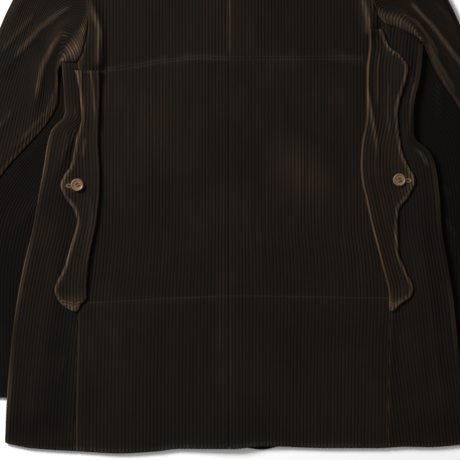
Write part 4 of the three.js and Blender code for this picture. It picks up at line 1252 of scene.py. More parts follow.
@dataclass
class BackPanel(ClothPiece):
    """Half of the back, from the centre seam to the side-back seam, the armhole and the shoulder."""

    kind: str = "back"
    left_flat_m: Pair = (0.23, 0.828)
    right_flat_m: Pair = (0.24, 0.828)
    reference_up: float = 387.0
    pocket_top_up: float = 586.0
    pocket_foot_up: float = 226.0
    pocket_top_rows: Row = (-6.2, -4.6, -3.0, -1.4, 0.0, 1.6)
    pocket_foot_rows: Row = (-2.4, -0.8, 0.8, 2.4)
    pleat_rows: Row = (-1.0, 0.5, 2.0, 3.5)
    pocket_out: float = 200.0
    top_line_reach: float = 60.0
    foot_line_reach: float = 50.0
    flat_from_share: float = 0.85
    patch_middle: Pair = (102.0, 420.0)
    patch_half: Pair = (34.0, 44.0)
    patch_slant: float = 0.35
    patch_wear: float = 0.17
    hem_wear: float = 0.4
    edge_wear: float = 0.22
    top_line_wear: float = 0.13
    foot_line_wear: float = 0.06
    centre_crease_up: Pair = (570.0, 610.0)

    def side_edge(self) -> tuple[Array, Array, Array]:
        """Follow the side edge from the hem to the shoulder.

        Returns:
            Out and up of each row there, and how far the wales spread on that row.
        """
        side = self.side
        lines = [self.pocket_foot_up + d for d in self.pocket_foot_rows]
        lines += [self.pocket_top_up + d for d in self.pocket_top_rows]
        lines += [side.flap.end + d for d in self.pleat_rows]
        nominal = spaced_rows(0, side.armpit, ROW_STEP, [*HEM_ROWS, *lines])
        share = spaced_rows(0, 1, 0.045, (0.985, 0.995))[1:]
        out = np.concatenate([side.body.read("seam", nominal), side.back_armhole.read("out", share)])
        up = np.concatenate([nominal + side.seam_rise(nominal), side.back_armhole.read("up", share)])
        reference = side.body.read("seam", self.reference_up)
        spread = side.body.read("seam", np.minimum(nominal, self.reference_up)) / reference
        return out, up, np.concatenate([spread, np.ones(len(share))])

    def plan(self, row_up: Array, x: Array, row_out: Array) -> Array:
        """Bend the rows, which follow the hem, the pocket's seams and the shoulder.

        Args:
            row_up: up of each row at the side edge.
            x: places across.
            row_out: out of each row at the side edge.

        Returns:
            Up of each place.
        """
        out = np.abs(x)
        rise = LAY.back_top(out / row_out * SHOULDER_OUT) - SHOULDER_UP
        up = LAY.bend(row_up, LAY.hem(x)) + rise * (row_up / SHOULDER_UP) ** 4
        inside = 1 - ramp(out / row_out, self.flat_from_share, 1)
        top_bend = POCKET_TOP_LINE.read("up", x) - self.pocket_top_up
        up = up + top_bend * bell(row_up - self.pocket_top_up, self.top_line_reach) * inside
        foot_bend = POCKET_FOOT_LINE.read("up", x) - self.pocket_foot_up
        return up + foot_bend * bell(row_up - self.pocket_foot_up, self.foot_line_reach)

    def grid(self) -> ClothGrid:
        """Lay the panel out.

        Returns:
            Its rows of points.
        """
        row_out, row_up, spread = self.side_edge()
        w = wale_columns(0, row_out.max())
        low_w = SEAM_GAP / 2 / spread
        high_w = (row_out - SEAM_GAP / 2) / spread
        low, high = live_columns(w, low_w, high_w)
        wale = np.clip(w[None, :], low_w[:, None], high_w[:, None])
        out = wale * spread[:, None]
        x = self.side.sign * out
        up = self.plan(row_up[:, None], x, row_out[:, None])
        up = up - hem_serration(wale, row_up[:, None])
        z = LAY.back(x, up)
        edge = row_out[:, None] - out
        dip = seam_dip(out) + seam_dip(edge) + HEM_DIP * bell(row_up[:, None], HEM_ROUND)
        above_top_line = up - POCKET_TOP_LINE.read("up", x)
        dip = dip + stitch_groove(above_top_line) * (out < self.pocket_out)
        dip = dip + stitch_groove(above_top_line + TWIN_ROW_GAP) * (out < self.pocket_out)
        dip = dip + stitch_groove(up - POCKET_FOOT_LINE.read("up", x))
        dip = dip + seam_dip(LAY.back_top(out) - up)
        wear = self.wear(x, up, row_up[:, None], edge)
        middle = np.stack([x, up, z], -1)
        return ClothGrid(middle, upright(x.shape), wale, up, low, high, CLOTH, wear, dip)

    def wear(self, x: Array, up: Array, row_up: Array, edge: Array) -> Array:
        """Wear the panel: its rubbed patch, its seams, its hem, its folds and the pocket's stitched lines.

        Args:
            x: places across.
            up: places up.
            row_up: up of each row at the side edge.
            edge: distance from the side edge.

        Returns:
            The wear at each place.
        """
        patch_x, patch_up = self.patch_middle
        wide, high = self.patch_half
        beside = x - patch_x - self.patch_slant * (patch_up - up)
        wear = self.patch_wear * bell(beside / wide, 1) * bell((up - patch_up) / high, 1)
        wear = wear + bell(np.abs(x), 1.4) * mix(0.02, 1.0, ramp(up, *self.centre_crease_up))
        wear = wear + self.hem_wear * bell(row_up, 5) * (0.45 + 0.55 * np.abs(np.sin(x / 37 + 0.6)))
        wear = wear + self.edge_wear * bell(edge, 3)
        wear = wear + creases_wear(BACK_CREASES, x, up)
        between_twins = up - POCKET_TOP_LINE.read("up", x) + TWIN_ROW_GAP / 2
        wear = wear + self.top_line_wear * bell(between_twins, 3.4)
        wear = wear + self.foot_line_wear * bell(up - POCKET_FOOT_LINE.read("up", x), 2.6)
        return wear + 0.015 + 0.05 * bell(x + 5, 16) * ramp(up, 30, 60) * (1 - ramp(up, 250, 300))


@dataclass
class FrontPanel(ClothPiece):
    """A front, from its edge under the body, round the side fold and up to the side-back seam."""

    kind: str = "front"
    left_flat_m: Pair = (0.43, 0.826)
    right_flat_m: Pair = (0.47, 0.826)
    reference_up: float = 331.0
    fold_wear: float = 0.7
    fold_wear_at: float = -4.0
    fold_wear_wide: float = 6.0
    # Painted shade: how far the side panel's cloth away from the fold is darkened.
    shade: float = 0.12

    def grid(self) -> ClothGrid:
        """Lay the panel out: the body's rows and then the chest's.

        Returns:
            Its rows of points.
        """
        side, sign = self.side, self.side.sign
        nominal = spaced_rows(0, side.armpit, ROW_STEP, HEM_ROWS)
        edge = side.body.read("edge", nominal)
        seam = side.body.read("seam", nominal) + SEAM_GAP / 2
        edge_up = LAY.bend(nominal, LAY.hem(sign * edge))
        low_z = LAY.front(sign * edge, edge_up, side)
        high_z = LAY.back(sign * edge, edge_up)
        radius = (high_z - low_z) / 2
        turn = edge - radius
        arc = np.pi * radius
        whole = float(np.interp(self.reference_up, nominal, arc + turn + LAY.front_overlap))
        top_w = turn - seam
        w = wale_columns(-whole, top_w.max())
        w_grid = np.clip(w[None, :], -whole, top_w[:, None])
        turn, arc, radius = turn[:, None], arc[:, None], radius[:, None]
        lower_share = np.clip((-w_grid - arc) / (whole - arc), 0, 1)
        lower_out = turn - lower_share * (turn + LAY.front_overlap)
        angle = np.clip(-w_grid / radius, 0, np.pi)
        is_upper = w_grid > 0
        is_lower = -w_grid > arc
        on_turn = turn + radius * np.sin(angle)
        out = by_layer(is_upper, is_lower, turn - w_grid, lower_out, on_turn)
        x = sign * out
        upper_share = np.clip(w_grid / (turn - seam[:, None]), 0, 1)
        low_share = np.clip(out / turn, 0, 1)
        up_low = LAY.bend(nominal[:, None], mix(LAY.front_hem(x), LAY.hem(x), low_share**3))
        up_high = LAY.bend(nominal[:, None], LAY.hem(x))
        up_high = up_high + side.seam_rise(nominal)[:, None] * upper_share**0.7
        up = by_layer(is_upper, is_lower, up_high, up_low, edge_up[:, None])
        up = up - hem_serration(w_grid, nominal[:, None])
        z_low = mix(LAY.front(x, up, side), low_z[:, None], ramp(low_share, 0.8, 1))
        z_high = mix(high_z[:, None], LAY.back(x, up), ramp(upper_share, 0, 0.3))
        z_arc = (low_z + high_z)[:, None] / 2 + radius * np.cos(angle)
        z = by_layer(is_upper, is_lower, z_high, z_low, z_arc)
        normal = leaning(sign, by_layer(is_upper, is_lower, 0, np.pi, angle))
        low, high = live_columns(w, np.full(len(nominal), -whole), top_w)
        body = np.stack([x, up, z], -1)
        cut_column = int(np.searchsorted(w, -float(arc[-1, 0]), side="left"))
        cut_column = COLUMNS_PER_WALE * round(cut_column / COLUMNS_PER_WALE)
        chest, chest_w, chest_high = self.chest(body[-1], w_grid[-1], cut_column)
        middle = np.concatenate([body, chest])
        normals = np.concatenate([normal, upright(chest.shape[:2], -1)])
        wale = np.concatenate([w_grid, chest_w])
        rows = len(nominal)
        x, up = middle[..., 0], middle[..., 1]
        row_up = np.concatenate([nominal, np.full(len(chest), FAR)])[:, None]
        seam_out = np.concatenate([seam, np.full(len(chest), FAR)])[:, None]
        from_seam = np.abs(np.abs(x) - seam_out)
        on_top = np.concatenate([is_upper, np.zeros(chest.shape[:2], bool)])
        dip = seam_dip(from_seam) * on_top + HEM_DIP * bell(row_up, HEM_ROUND)
        fold = bell(wale - self.fold_wear_at, self.fold_wear_wide)
        uneven = 0.6 + 0.4 * np.sin(up / 29 + side.sign)
        wear = self.fold_wear * fold * uneven * (row_up < FAR)
        wear = wear + 0.25 * bell(from_seam, 3) * on_top + 0.35 * bell(row_up, 5)
        # Painted shade: away from the fold the wear value is lowered below 0, which darkens the side panel.
        wear = wear + creases_wear(SIDE_CREASES, x, up) * on_top - self.shade * (1 - fold)
        low = np.concatenate([low, np.full(len(chest), low[-1])])
        high = np.concatenate([high, chest_high])
        return ClothGrid(middle, normals, wale, up, low, high, CLOTH, wear, dip, rows - 1, cut_column)

    def chest(self, base: Array, base_w: Array, cut_column: int) -> tuple[Array, Array, Array]:
        """Work out the rows above the armpit, where only the lower layer goes on.

        Args:
            base: points of the row at the armpit.
            base_w: their places across the wales.
            cut_column: the column where the lower layer ends at the armpit.

        Returns:
            The points, their places across the wales and each row's last live column.
        """
        side, sign = self.side, self.side.sign
        share = spaced_rows(0, 1, 0.04, (0.975, 0.99))[1:]
        hole_out = side.front_armhole.read("out", share) - SEAM_GAP
        hole_up = side.front_armhole.read("up", share)
        last_up = base[cut_column, 1]
        out = sign * base[:, 0]
        high = np.clip(np.searchsorted(out[:cut_column + 1], hole_out, side="left"), 1, cut_column)
        columns = np.arange(len(out))[None, :]
        live = np.minimum(columns, high[:, None])
        out_grid = np.minimum(out[None, :], hole_out[:, None])
        out_grid = np.where(columns >= high[:, None], hole_out[:, None], out_grid)
        at_edge = mix(last_up, SHOULDER_UP, share)
        column = np.clip(out_grid / hole_out[:, None], 0, 1)
        inside = np.maximum(out_grid, -LAY.front_overlap)
        base_up = np.interp(inside, out[:cut_column + 1], base[:cut_column + 1, 1])
        stretch = np.where(out_grid > 0, SHOULDER_OUT / hole_out[:, None], 1)
        target = LAY.front_top(np.abs(out_grid) * stretch)
        up = mix(base_up, target, share[:, None]) + (hole_up - at_edge)[:, None] * column**3
        x = sign * out_grid
        base_z = np.interp(out_grid, out[:cut_column + 1], base[:cut_column + 1, 2])
        z = mix(base_z, LAY.front(x, up, side), ramp(share, 0, 0.3)[:, None])
        wale = np.take_along_axis(np.broadcast_to(base_w, out_grid.shape), live, 1)
        return np.stack([x, up, z], -1), wale, high


@dataclass
class TopSleeve(ClothPiece):
    """The larger piece of a sleeve: from its free fold, round the outside, to the seam underneath."""

    kind: str = "top_sleeve"
    left_flat_m: Pair = (0.42, 0.74)
    right_flat_m: Pair = (0.405, 0.74)
    edge_level: float = 5.9
    level: float = 7.1
    length: float = 740.0
    settle_upper: Pair = (0.0, 0.16)
    settle_lower: Pair = (0.0, 0.1)
    bow_upper: Pair = (0.0, 0.15)
    bow_lower: Pair = (0.0, 0.12)
    fold_points: int = 12
    upper_points: int = 40
    lower_points: int = 44
    rim_rows: Row = (0.003, 0.006, 0.012, 0.02)
    cuff_rows: Row = (0.988, 0.995, 0.998)
    rim_end: float = 0.03
    waves: float = 0.3
    roll: float = 0.5
    roll_at: float = 0.012
    roll_wide: float = 0.008
    rim_wear: float = 0.75
    # Painted shade: how far the whole top sleeve's wear value is lowered, which darkens it.
    shade: float = 0.1

    def armhole(self) -> tuple[Array, Array]:
        """Follow the armhole.

        Returns:
            Its points on the upper layer, from armpit to shoulder, and on the lower one, back again.
        """
        side, sign = self.side, self.side.sign
        top = side.armpit
        edge = float(side.body.read("edge", top))
        seam = float(side.body.read("seam", top)) + SEAM_GAP / 2
        low_z = float(LAY.front(np.array(sign * edge), np.array(top), side))
        high_z = float(LAY.back(np.array(sign * edge), np.array(top)))
        turn = edge - (high_z - low_z) / 2
        share = np.linspace(0, 1, self.fold_points)
        wrap_out = mix(turn, seam, share)
        wrap_up = top + (side.seam_top - top) * share**0.7
        along = np.linspace(0.04, 1, self.upper_points)
        back_out = side.back_armhole.read("out", along) - SEAM_GAP / 2
        upper_out = np.concatenate([wrap_out, back_out])
        upper_up = np.concatenate([wrap_up, side.back_armhole.read("up", along)])
        upper_z = LAY.back(sign * upper_out, upper_up)
        corner = [edge + SLEEVE_SEAM_GAP, top + SLEEVE_SEAM_GAP]
        down = np.linspace(1, 0.02, self.lower_points)
        lower_out = np.append(side.front_armhole.read("out", down) - SEAM_GAP, turn)
        lower_up = np.append(side.front_armhole.read("up", down), top)
        lower_z = LAY.front(sign * lower_out, lower_up, side)
        upper = self.clear_of_body(np.stack([upper_out, upper_up, upper_z], 1), 1)
        lower = self.clear_of_body(np.stack([lower_out, lower_up, lower_z], 1), -1)
        upper[0, :2] = lower[-1, :2] = corner
        upper[-1, :2] = lower[0, :2] = [SHOULDER_OUT + SLEEVE_SEAM_GAP, SHOULDER_UP]
        return upper, lower

    @staticmethod
    def clear_of_body(chain: Array, turn: int) -> Array:
        """Move a chain of points along the armhole away from the body by the gap of a seam.

        Args:
            chain: the points.
            turn: 1 or -1, the side of the chain that is away from the body.

        Returns:
            The moved points.
        """
        step = np.gradient(chain[:, :2], axis=0)
        away = turn * SLEEVE_SEAM_GAP * np.stack([step[:, 1], -step[:, 0]], 1)
        moved = chain.copy()
        moved[:, :2] += away / np.linalg.norm(step, axis=1)[:, None]
        return moved

    @staticmethod
    def shares(points: Array) -> tuple[Array, float]:
        """Measure along a chain of points.

        Args:
            points: the chain.

        Returns:
            The share of its length at each point, and its length.
        """
        steps = np.linalg.norm(np.diff(points[:, :2], axis=0), axis=1)
        run = np.concatenate(([0], np.cumsum(steps)))
        return run / run[-1], float(run[-1])

    def grid(self) -> ClothGrid:
        """Lay the sleeve out in sections, the first of them at the armhole.

        Returns:
            Its rows of points.
        """
        side, sign = self.side, self.side.sign
        table = side.top_sleeve
        s = spaced_rows(0, 1, ROW_STEP / self.length, (*self.rim_rows, *self.cuff_rows))
        outer = np.stack([table.read("outer_out", s), table.read("outer_up", s)], 1)
        inner = np.stack([table.read("fold_out", s), table.read("fold_up", s)], 1)
        seam_up = table.read("seam_up", s)
        seam = np.stack([side.lower_seam(seam_up), seam_up], 1)
        upper, lower = self.armhole()
        keep = (1 - ramp(s, *self.bow_upper)) ** 2
        keep_low = (1 - ramp(s, *self.bow_lower)) ** 2
        settle = ramp(s, *self.settle_upper)
        settle_low = ramp(s, *self.settle_lower)
        edge_high = mix(upper[-1, 2], self.edge_level, settle)
        edge_low = mix(lower[0, 2], LAY.floor_layer, settle)
        radius = (edge_high - edge_low) / 2
        start = np.clip(1 - s / self.rim_end, 0, 1)
        hole_outer = np.array([lower[0, 0] + radius[0], lower[0, 1]])
        outer = mix(outer, hole_outer, start[:, None])
        turn = outer - np.stack([radius, np.zeros_like(radius)], 1)
        upper_length = self.section_length(inner, turn, upper, keep, start)
        lower_length = self.section_length(turn, seam, lower, keep_low, start)
        arc = np.pi * radius
        w = wale_columns(-(lower_length + arc).max(), upper_length.max())
        w_grid = np.clip(w[None, :], -(lower_length + arc)[:, None], upper_length[:, None])
        is_upper = w_grid > 0
        is_lower = -w_grid > arc[:, None]
        upper_share = 1 - np.clip(w_grid / upper_length[:, None], 0, 1)
        lower_share = np.clip((-w_grid - arc[:, None]) / lower_length[:, None], 0, 1)
        bow_top = keep[:, None] * ramp(upper_share, 0, 0.45)
        bow_bottom = keep_low[:, None] * ramp(1 - lower_share, 0.15, 0.5)
        crowd = mix(0.6, 1, ramp(s, 0.03, 0.3))[:, None]
        top = self.section(inner, turn, upper, upper_share, crowd, bow_top, start)
        bottom = self.section(turn, seam, lower, lower_share, 1.0, bow_bottom, start)
        angle = np.clip(-w_grid / radius[:, None], 0, np.pi)
        arc_out = outer[:, :1] - radius[:, None] * (1 - np.sin(angle))
        out = by_layer(is_upper, is_lower, top[..., 0], bottom[..., 0], arc_out)
        up = by_layer(is_upper, is_lower, top[..., 1], bottom[..., 1], outer[:, 1:])
        x = sign * out
        body = ramp(upper_share, 0, 0.12) * (1 - ramp(upper_share, 0.85, 1))
        folds = creases_height(SLEEVE_CREASES, x, up) * (1 - ramp(upper_share, 0.9, 1))
        folds = folds * mix(0.35, 1.0, ramp(upper_share, 0, 0.1)) + self.waves * unevenness(x, up) * body
        level = mix(self.edge_level, self.level, body) + folds
        roll = self.roll * bell(s - self.roll_at, self.roll_wide)[:, None]
        near_rim = (1 - settle[:, None]) * ramp(s, 0, 0.08)[:, None]
        z_top = mix(top[..., 2], level, settle[:, None]) + folds * near_rim + roll
        z_bottom = mix(bottom[..., 2], LAY.floor_layer, settle_low[:, None])
        z_arc = ((edge_high + edge_low) / 2)[:, None] + radius[:, None] * np.cos(angle)
        z = by_layer(is_upper, is_lower, z_top, z_bottom, z_arc)
        normal = leaning(sign, by_layer(is_upper, is_lower, 0, np.pi, angle))
        low, high = live_columns(w, -(lower_length + arc), upper_length)
        from_rim = np.broadcast_to(s[:, None], x.shape) * self.length
        cuff = self.length - from_rim
        edge = upper_length[:, None] - w_grid
        dip = seam_dip(from_rim, 0.5, 1.3) + CUFF_DIP * bell(cuff, CUFF_ROUND)
        dip = dip + seam_dip(edge, 0.8, 1.8) * is_upper
        towards_armpit = 0.5 + 0.5 * ramp(-up, -700, -590)
        wear = creases_wear(SLEEVE_CREASES, x, up) * is_upper
        wear = wear + self.rim_wear * bell(from_rim - 8, 6) * is_upper * towards_armpit
        wear = wear + 0.45 * bell(edge - 3, 4) * is_upper + 0.4 * bell(cuff, 6)
        # Painted shade: the shade value is taken off the wear value, darkening the top sleeve.
        wear = wear + 0.35 * bell(w_grid + 3, 6) - self.shade
        middle = np.stack([x, up, z], -1)
        return ClothGrid(middle, normal, w_grid, -from_rim, low, high, CLOTH, wear, dip)

    def section_length(self, a: Array, b: Array, chain: Array, keep: Array, start: Array) -> Array:
        """Measure the sections, the first of which is the armhole itself.

        Args:
            a: where each section starts.
            b: where it ends.
            chain: the armhole's points.
            keep: how much of the armhole's bow each section keeps.
            start: 1 where a section is the armhole itself.

        Returns:
            The length of each section.
        """
        _, length = self.shares(chain)
        chord = float(np.linalg.norm(chain[-1, :2] - chain[0, :2]))
        straight = np.linalg.norm(b - a, axis=1)
        bowed = straight * (1 + (length / chord - 1) * keep)
        return mix(bowed, length, start)

    def section(self, a: Array, b: Array, chain: Array, share: Array, crowd: Array | float, keep: Array,
                start: Array) -> Array:
        """Place points on sections, which follow the armhole at first and straighten along the sleeve.

        Args:
            a: where each section starts.
            b: where it ends.
            chain: the armhole's points.
            share: places along the sections.
            crowd: power by which the places spread out along each section's line, 1 for evenly.
            keep: how much of the armhole's bow each place keeps.
            start: 1 where a section is the armhole itself.

        Returns:
            Out, up and the armhole's height for each place.
        """
        fractions, _ = self.shares(chain)
        points = []
        for axis in (0, 1):
            there = np.interp(share, fractions, chain[:, axis])
            chord = mix(chain[0, axis], chain[-1, axis], share)
            line = mix(a[:, axis][:, None], b[:, axis][:, None], share**crowd)
            points.append(mix(line + (there - chord) * keep, there, start[:, None]))
        points.append(np.interp(share, fractions, chain[:, 2]))
        return np.stack(points, -1)


@dataclass
class UnderSleeve(ClothPiece):
    """The smaller piece of a sleeve: tucked under the fold, round the inside and a little underneath."""

    kind: str = "under_sleeve"
    left_flat_m: Pair = (0.152, 0.5)
    right_flat_m: Pair = (0.133, 0.528)
    tuck: float = 12.0
    seam_gap: float = 2.0
    cuff_rows: Row = (75.8, 77.0, 79.0, 100.0)
    # Painted shade: how far the under sleeve, lying under the body and the top sleeve, is darkened.
    shade: float = 0.45
    level: float = LAY.floor_layer + CLOTH + 0.6

    def grid(self) -> ClothGrid:
        """Lay the piece out.

        Returns:
            Its rows of points.
        """
        side, sign = self.side, self.side.sign
        top = side.under_sleeve_top
        extra = (*self.cuff_rows, top - 5, top - 3, top - 1)
        rows = spaced_rows(side.under_sleeve.rows[0][0], top, ROW_STEP, extra)
        inner = side.under_sleeve.read("inner", rows)
        outer = side.under_sleeve.read("fold", rows) + self.tuck
        outer = mix(outer, side.lower_seam(rows) - self.seam_gap, ramp(rows, top - 5, top - 1))
        radius = (self.level - LAY.floor_layer) / 2
        turn = inner + radius
        upper_length = outer - turn
        arc = math.pi * radius
        under = side.lower_seam(rows) - inner - self.seam_gap - radius
        w = wale_columns(0, (upper_length + arc + under).max())
        w_grid = np.clip(w[None, :], 0, (upper_length + arc + under)[:, None])
        past = w_grid - upper_length[:, None]
        angle = np.clip(past / radius, 0, np.pi)
        is_lower = past > arc
        out = np.where(past <= 0, outer[:, None] - w_grid, turn[:, None] - radius * np.sin(angle))
        out = np.where(is_lower, turn[:, None] + past - arc, out)
        x = sign * out
        up = np.broadcast_to(rows[:, None], x.shape).copy()
        folds = creases_height(UNDER_SLEEVE_CREASES, x, up) * (past <= 0)
        z = (self.level + LAY.floor_layer) / 2 + radius * np.cos(angle) + folds
        normal = leaning(-sign, angle)
        low, high = live_columns(w, np.zeros(len(rows)), upper_length + arc + under)
        cuff = up - rows[0]
        dip = CUFF_DIP * bell(cuff, CUFF_ROUND)
        # Painted shade: the under sleeve's wear value is lowered below 0, which darkens it.
        wear = creases_wear(UNDER_SLEEVE_CREASES, x, up) * (past <= 0) + 0.4 * bell(cuff, 6) - self.shade
        middle = np.stack([x, up, z], -1)
        return ClothGrid(middle, normal, w_grid, up, low, high, CLOTH, wear, dip)


@dataclass
class PocketFlap(ClothPiece):
    """The shaped strip with a button tab over the side opening of the game pocket."""

    kind: str = "pocket_flap"
    left_flat_m: Pair = (0.061, 0.363)
    right_flat_m: Pair = (0.082, 0.425)
    rounding: float = 1.5
    row_step: float = 5.0
    edge_wear: float = 1.4
    edge_wear_in: float = 2.2
    end_rows: Row = (0.8, 2.0)

    def grid(self) -> ClothGrid:
        """Lay the strip out.

        Returns:
            Its rows of points.
        """
        side = self.side
        table = side.flap
        start, end = table.rows[0][0], table.end
        extra = [start + d for d in self.end_rows] + [end - d for d in self.end_rows]
        rows = spaced_rows(start, end, self.row_step, extra)
        inner = table.read("inner", rows)
        outer = table.read("outer", rows)
        line = table.read("inner", np.maximum(rows, side.flap_line_up))
        low_w, high_w = inner - line, outer - line
        w = wale_columns(low_w.min(), high_w.max())
        low, high = live_columns(w, low_w, high_w)
        wale = np.clip(w[None, :], low_w[:, None], high_w[:, None])
        out = wale + line[:, None]
        x = side.sign * out
        up = np.broadcast_to(rows[:, None], x.shape).copy()
        z = LAY.flap(side, x, up)
        to_outer = outer[:, None] - out
        to_inner = out - inner[:, None]
        slant = np.gradient(outer, rows)[:, None]
        to_outer = to_outer / np.sqrt(1 + slant**2)
        to_foot = up - start
        dip = 1.7 * bell(to_outer, self.rounding) + 1.5 * bell(to_inner, self.rounding)
        dip = dip + 1.5 * bell(to_foot, self.rounding) + 1.5 * bell(end - up, self.rounding)
        dip = dip + stitch_groove(to_outer - FLAP_STITCH_IN, 0.5, 1.4) - 0.5 * bell(to_outer - 2.6, 1.6)
        uneven = 0.72 + 0.28 * np.sin(up / 11 + 2 * np.sin(up / 29))
        ridge = 0.35 if side is LEFT else 0.75
        wear = self.edge_wear * bell(to_outer - self.edge_wear_in, self.edge_wear_in) * uneven
        wear = wear + ridge * bell(to_inner - 1.4, 1.8) * (0.5 + 0.5 * uneven)
        wear = wear + 0.85 * bell(to_foot - 2, 4) + 0.45 * bell(to_foot - 12, 12) * uneven
        wear = wear + creases_wear(FLAP_CREASES, x, up) + 0.05
        hole_out, hole_up = side.buttonhole
        wear = wear + 0.5 * bell(np.hypot(out - hole_out, up - hole_up), 9)
        middle = np.stack([x, up, z], -1)
        normal = upright(x.shape)
        return ClothGrid(middle, normal, wale, up, low, high, LAY.flap_thickness, wear, dip)


@dataclass
class Collar(ClothPiece):
    """A folded collar: its stand rises from the neck seam and its fall lies back over it."""

    left_flat_m: Pair = (0.125, 0.62)
    stand: float = LAY.collar_stand
    fall: float = LAY.collar_fall
    stand_half: float = 1.5
    fall_half: float = 4.3
    centre_height: float = 5.3
    seam_back: float = 0.6
    front_out: float = 2.0
    front_stations: int = 26
    shoulder_leans: tuple[int, int, int] = (-78, 90, 12)
    back_stations: int = 16
    edge_wear: float = 0.6

    @property
    def node(self) -> str:
        """Name of the CAD node that the collar stands for."""
        return "collar"

    @staticmethod
    def station(out: float, up: float, share: float, lean: float) -> Row:
        """Return one place on the neck seam, a share of the way from the middle to the shoulder."""
        angle = mix(1.5 * math.pi, math.pi + SHOULDER_SLOPE, share)
        return out, up, math.cos(angle), math.sin(angle), math.radians(lean)

    def stations(self) -> Array:
        """Follow the neck seam of one side, from the front round the shoulder to the centre back.

        Returns:
            Rows of out, up, the two parts of the way away from the neck, and the lean of the cloth.
        """
        rows = []
        for angle in np.linspace(math.asin(self.front_out / NECK_OUT), math.pi / 2, self.front_stations):
            out = NECK_OUT * np.sin(angle)
            rows.append(self.station(out, float(LAY.front_neck(out)), angle / (math.pi / 2), -90))
        for lean in range(*self.shoulder_leans):
            rows.append(self.station(NECK_OUT, NECK_UP, 1, lean))
        for share in np.linspace(1, 0, self.back_stations):
            out = NECK_OUT * share
            rows.append(self.station(out, float(LAY.back_neck(out)), share, 90))
        return np.array(rows)

    def grid(self) -> ClothGrid:
        """Lay the collar out, from the front of the left side round the neck to the front of the right.

        Returns:
            Its rows of points.
        """
        half = self.stations()
        left = half * np.array([-1, 1, 1, 1, 1])
        right = half[::-1][1:] * np.array([1, 1, -1, 1, 1])
        rows = np.concatenate([left, right])
        side_sign = np.concatenate([-np.ones(len(left)), np.ones(len(right))])[:, None]
        crest = (self.fall_half - self.stand_half) / 2
        middle = (self.fall_half + self.stand_half) / 2
        arc = math.pi * crest
        stand = self.stand - self.seam_back
        total = stand + arc + self.stand + self.fall
        w = wale_columns(0, total)
        w_row = np.clip(w, 0, total)
        angle = np.clip((w_row - stand) / crest, 0, math.pi)
        back = np.where(w_row < stand, self.seam_back + w_row, self.stand + crest * np.sin(angle))
        back = np.where(w_row > stand + arc, self.stand - (w_row - stand - arc), back)
        half_height = middle - crest * np.cos(angle)
        away, out_part = np.sin(angle), -np.cos(angle)
        x, up, ax, ay, lean = (column[:, None] for column in rows.T)
        across_x, across_y = side_sign * np.abs(ay), np.abs(ax)
        reach = np.cos(lean) * half_height
        px = x - ax * back + across_x * reach
        pup = up - ay * back + across_y * reach
        pz = self.centre_height + np.sin(lean) * half_height
        normal = np.stack([
            -ax * away + across_x * np.cos(lean) * out_part,
            -ay * away + across_y * np.cos(lean) * out_part,
            np.sin(lean) * out_part + 0 * px,
        ], -1)
        shape = px.shape
        wale = np.broadcast_to(w_row, shape).copy()
        run = np.concatenate(([0], np.cumsum(np.hypot(np.diff(rows[:, 0]), np.diff(rows[:, 1])))))
        down = np.broadcast_to(run[:, None], shape).copy()
        low, high = live_columns(w, np.zeros(len(rows)), np.full(len(rows), total))
        edge = total - wale
        dip = seam_dip(edge, 0.9, 1.5)
        wear = self.edge_wear * (bell(edge - 2, 3) + bell(wale - stand - arc / 2, 5)) + 0.04
        return ClothGrid(np.stack([px, pup, pz], -1), normal, wale, down, low, high, CLOTH, wear, dip)


@dataclass
class Stitches:
    """A row of stitches along a line on the cloth."""

    name: str
    path: Array
    pitch: float = 3.4
    length: float = 2.5
    radius: float = 0.3
    finish: Finish = Finish.SEAM_THREAD
    sides: int = 6
    shape: tuple[Row, ...] = (
        (-0.5, 0.5, -0.28), (-0.3, 0.95, 0.0), (0.0, 1.0, 0.1), (0.3, 0.95, 0.0), (0.5, 0.5, -0.28),
    )

    def build(self) -> bpy.types.Object:
        """Build all the stitches as one piece of short rounded threads.

        Each row of the shape has a ring's place along the stitch, its share of the radius and its height.

        Returns:
            The object.
        """
        steps = np.linalg.norm(np.diff(self.path, axis=0), axis=1)
        run = np.concatenate(([0], np.cumsum(steps)))
        centres = np.arange(self.pitch / 2, run[-1] - self.length / 2, self.pitch)
        work = bmesh.new()
        for centre in centres:
            start = self.point(run, centre - self.length / 2)
            end = self.point(run, centre + self.length / 2)
            across = (end - start).normalized().cross(Vector((0, 0, 1)))
            rings = []
            for at, thick, lift in self.shape:
                middle = start.lerp(end, at + 0.5) + Vector((0, 0, lift))
                rings.append([
                    in_frame(middle + self.radius * thick * around(across, Vector((0, 0, 1)), turn))
                    for turn in turns(self.sides)
                ])
            join_rings(work, rings)
        log.info("%s: %d stitches", self.name, len(centres))
        return finish_small(work, self.name, self.finish)

    def point(self, run: Array, at: float) -> Vector:
        """Return the point of the line at a distance along it."""
        return Vector([np.interp(at, run, self.path[:, axis]) for axis in range(3)])


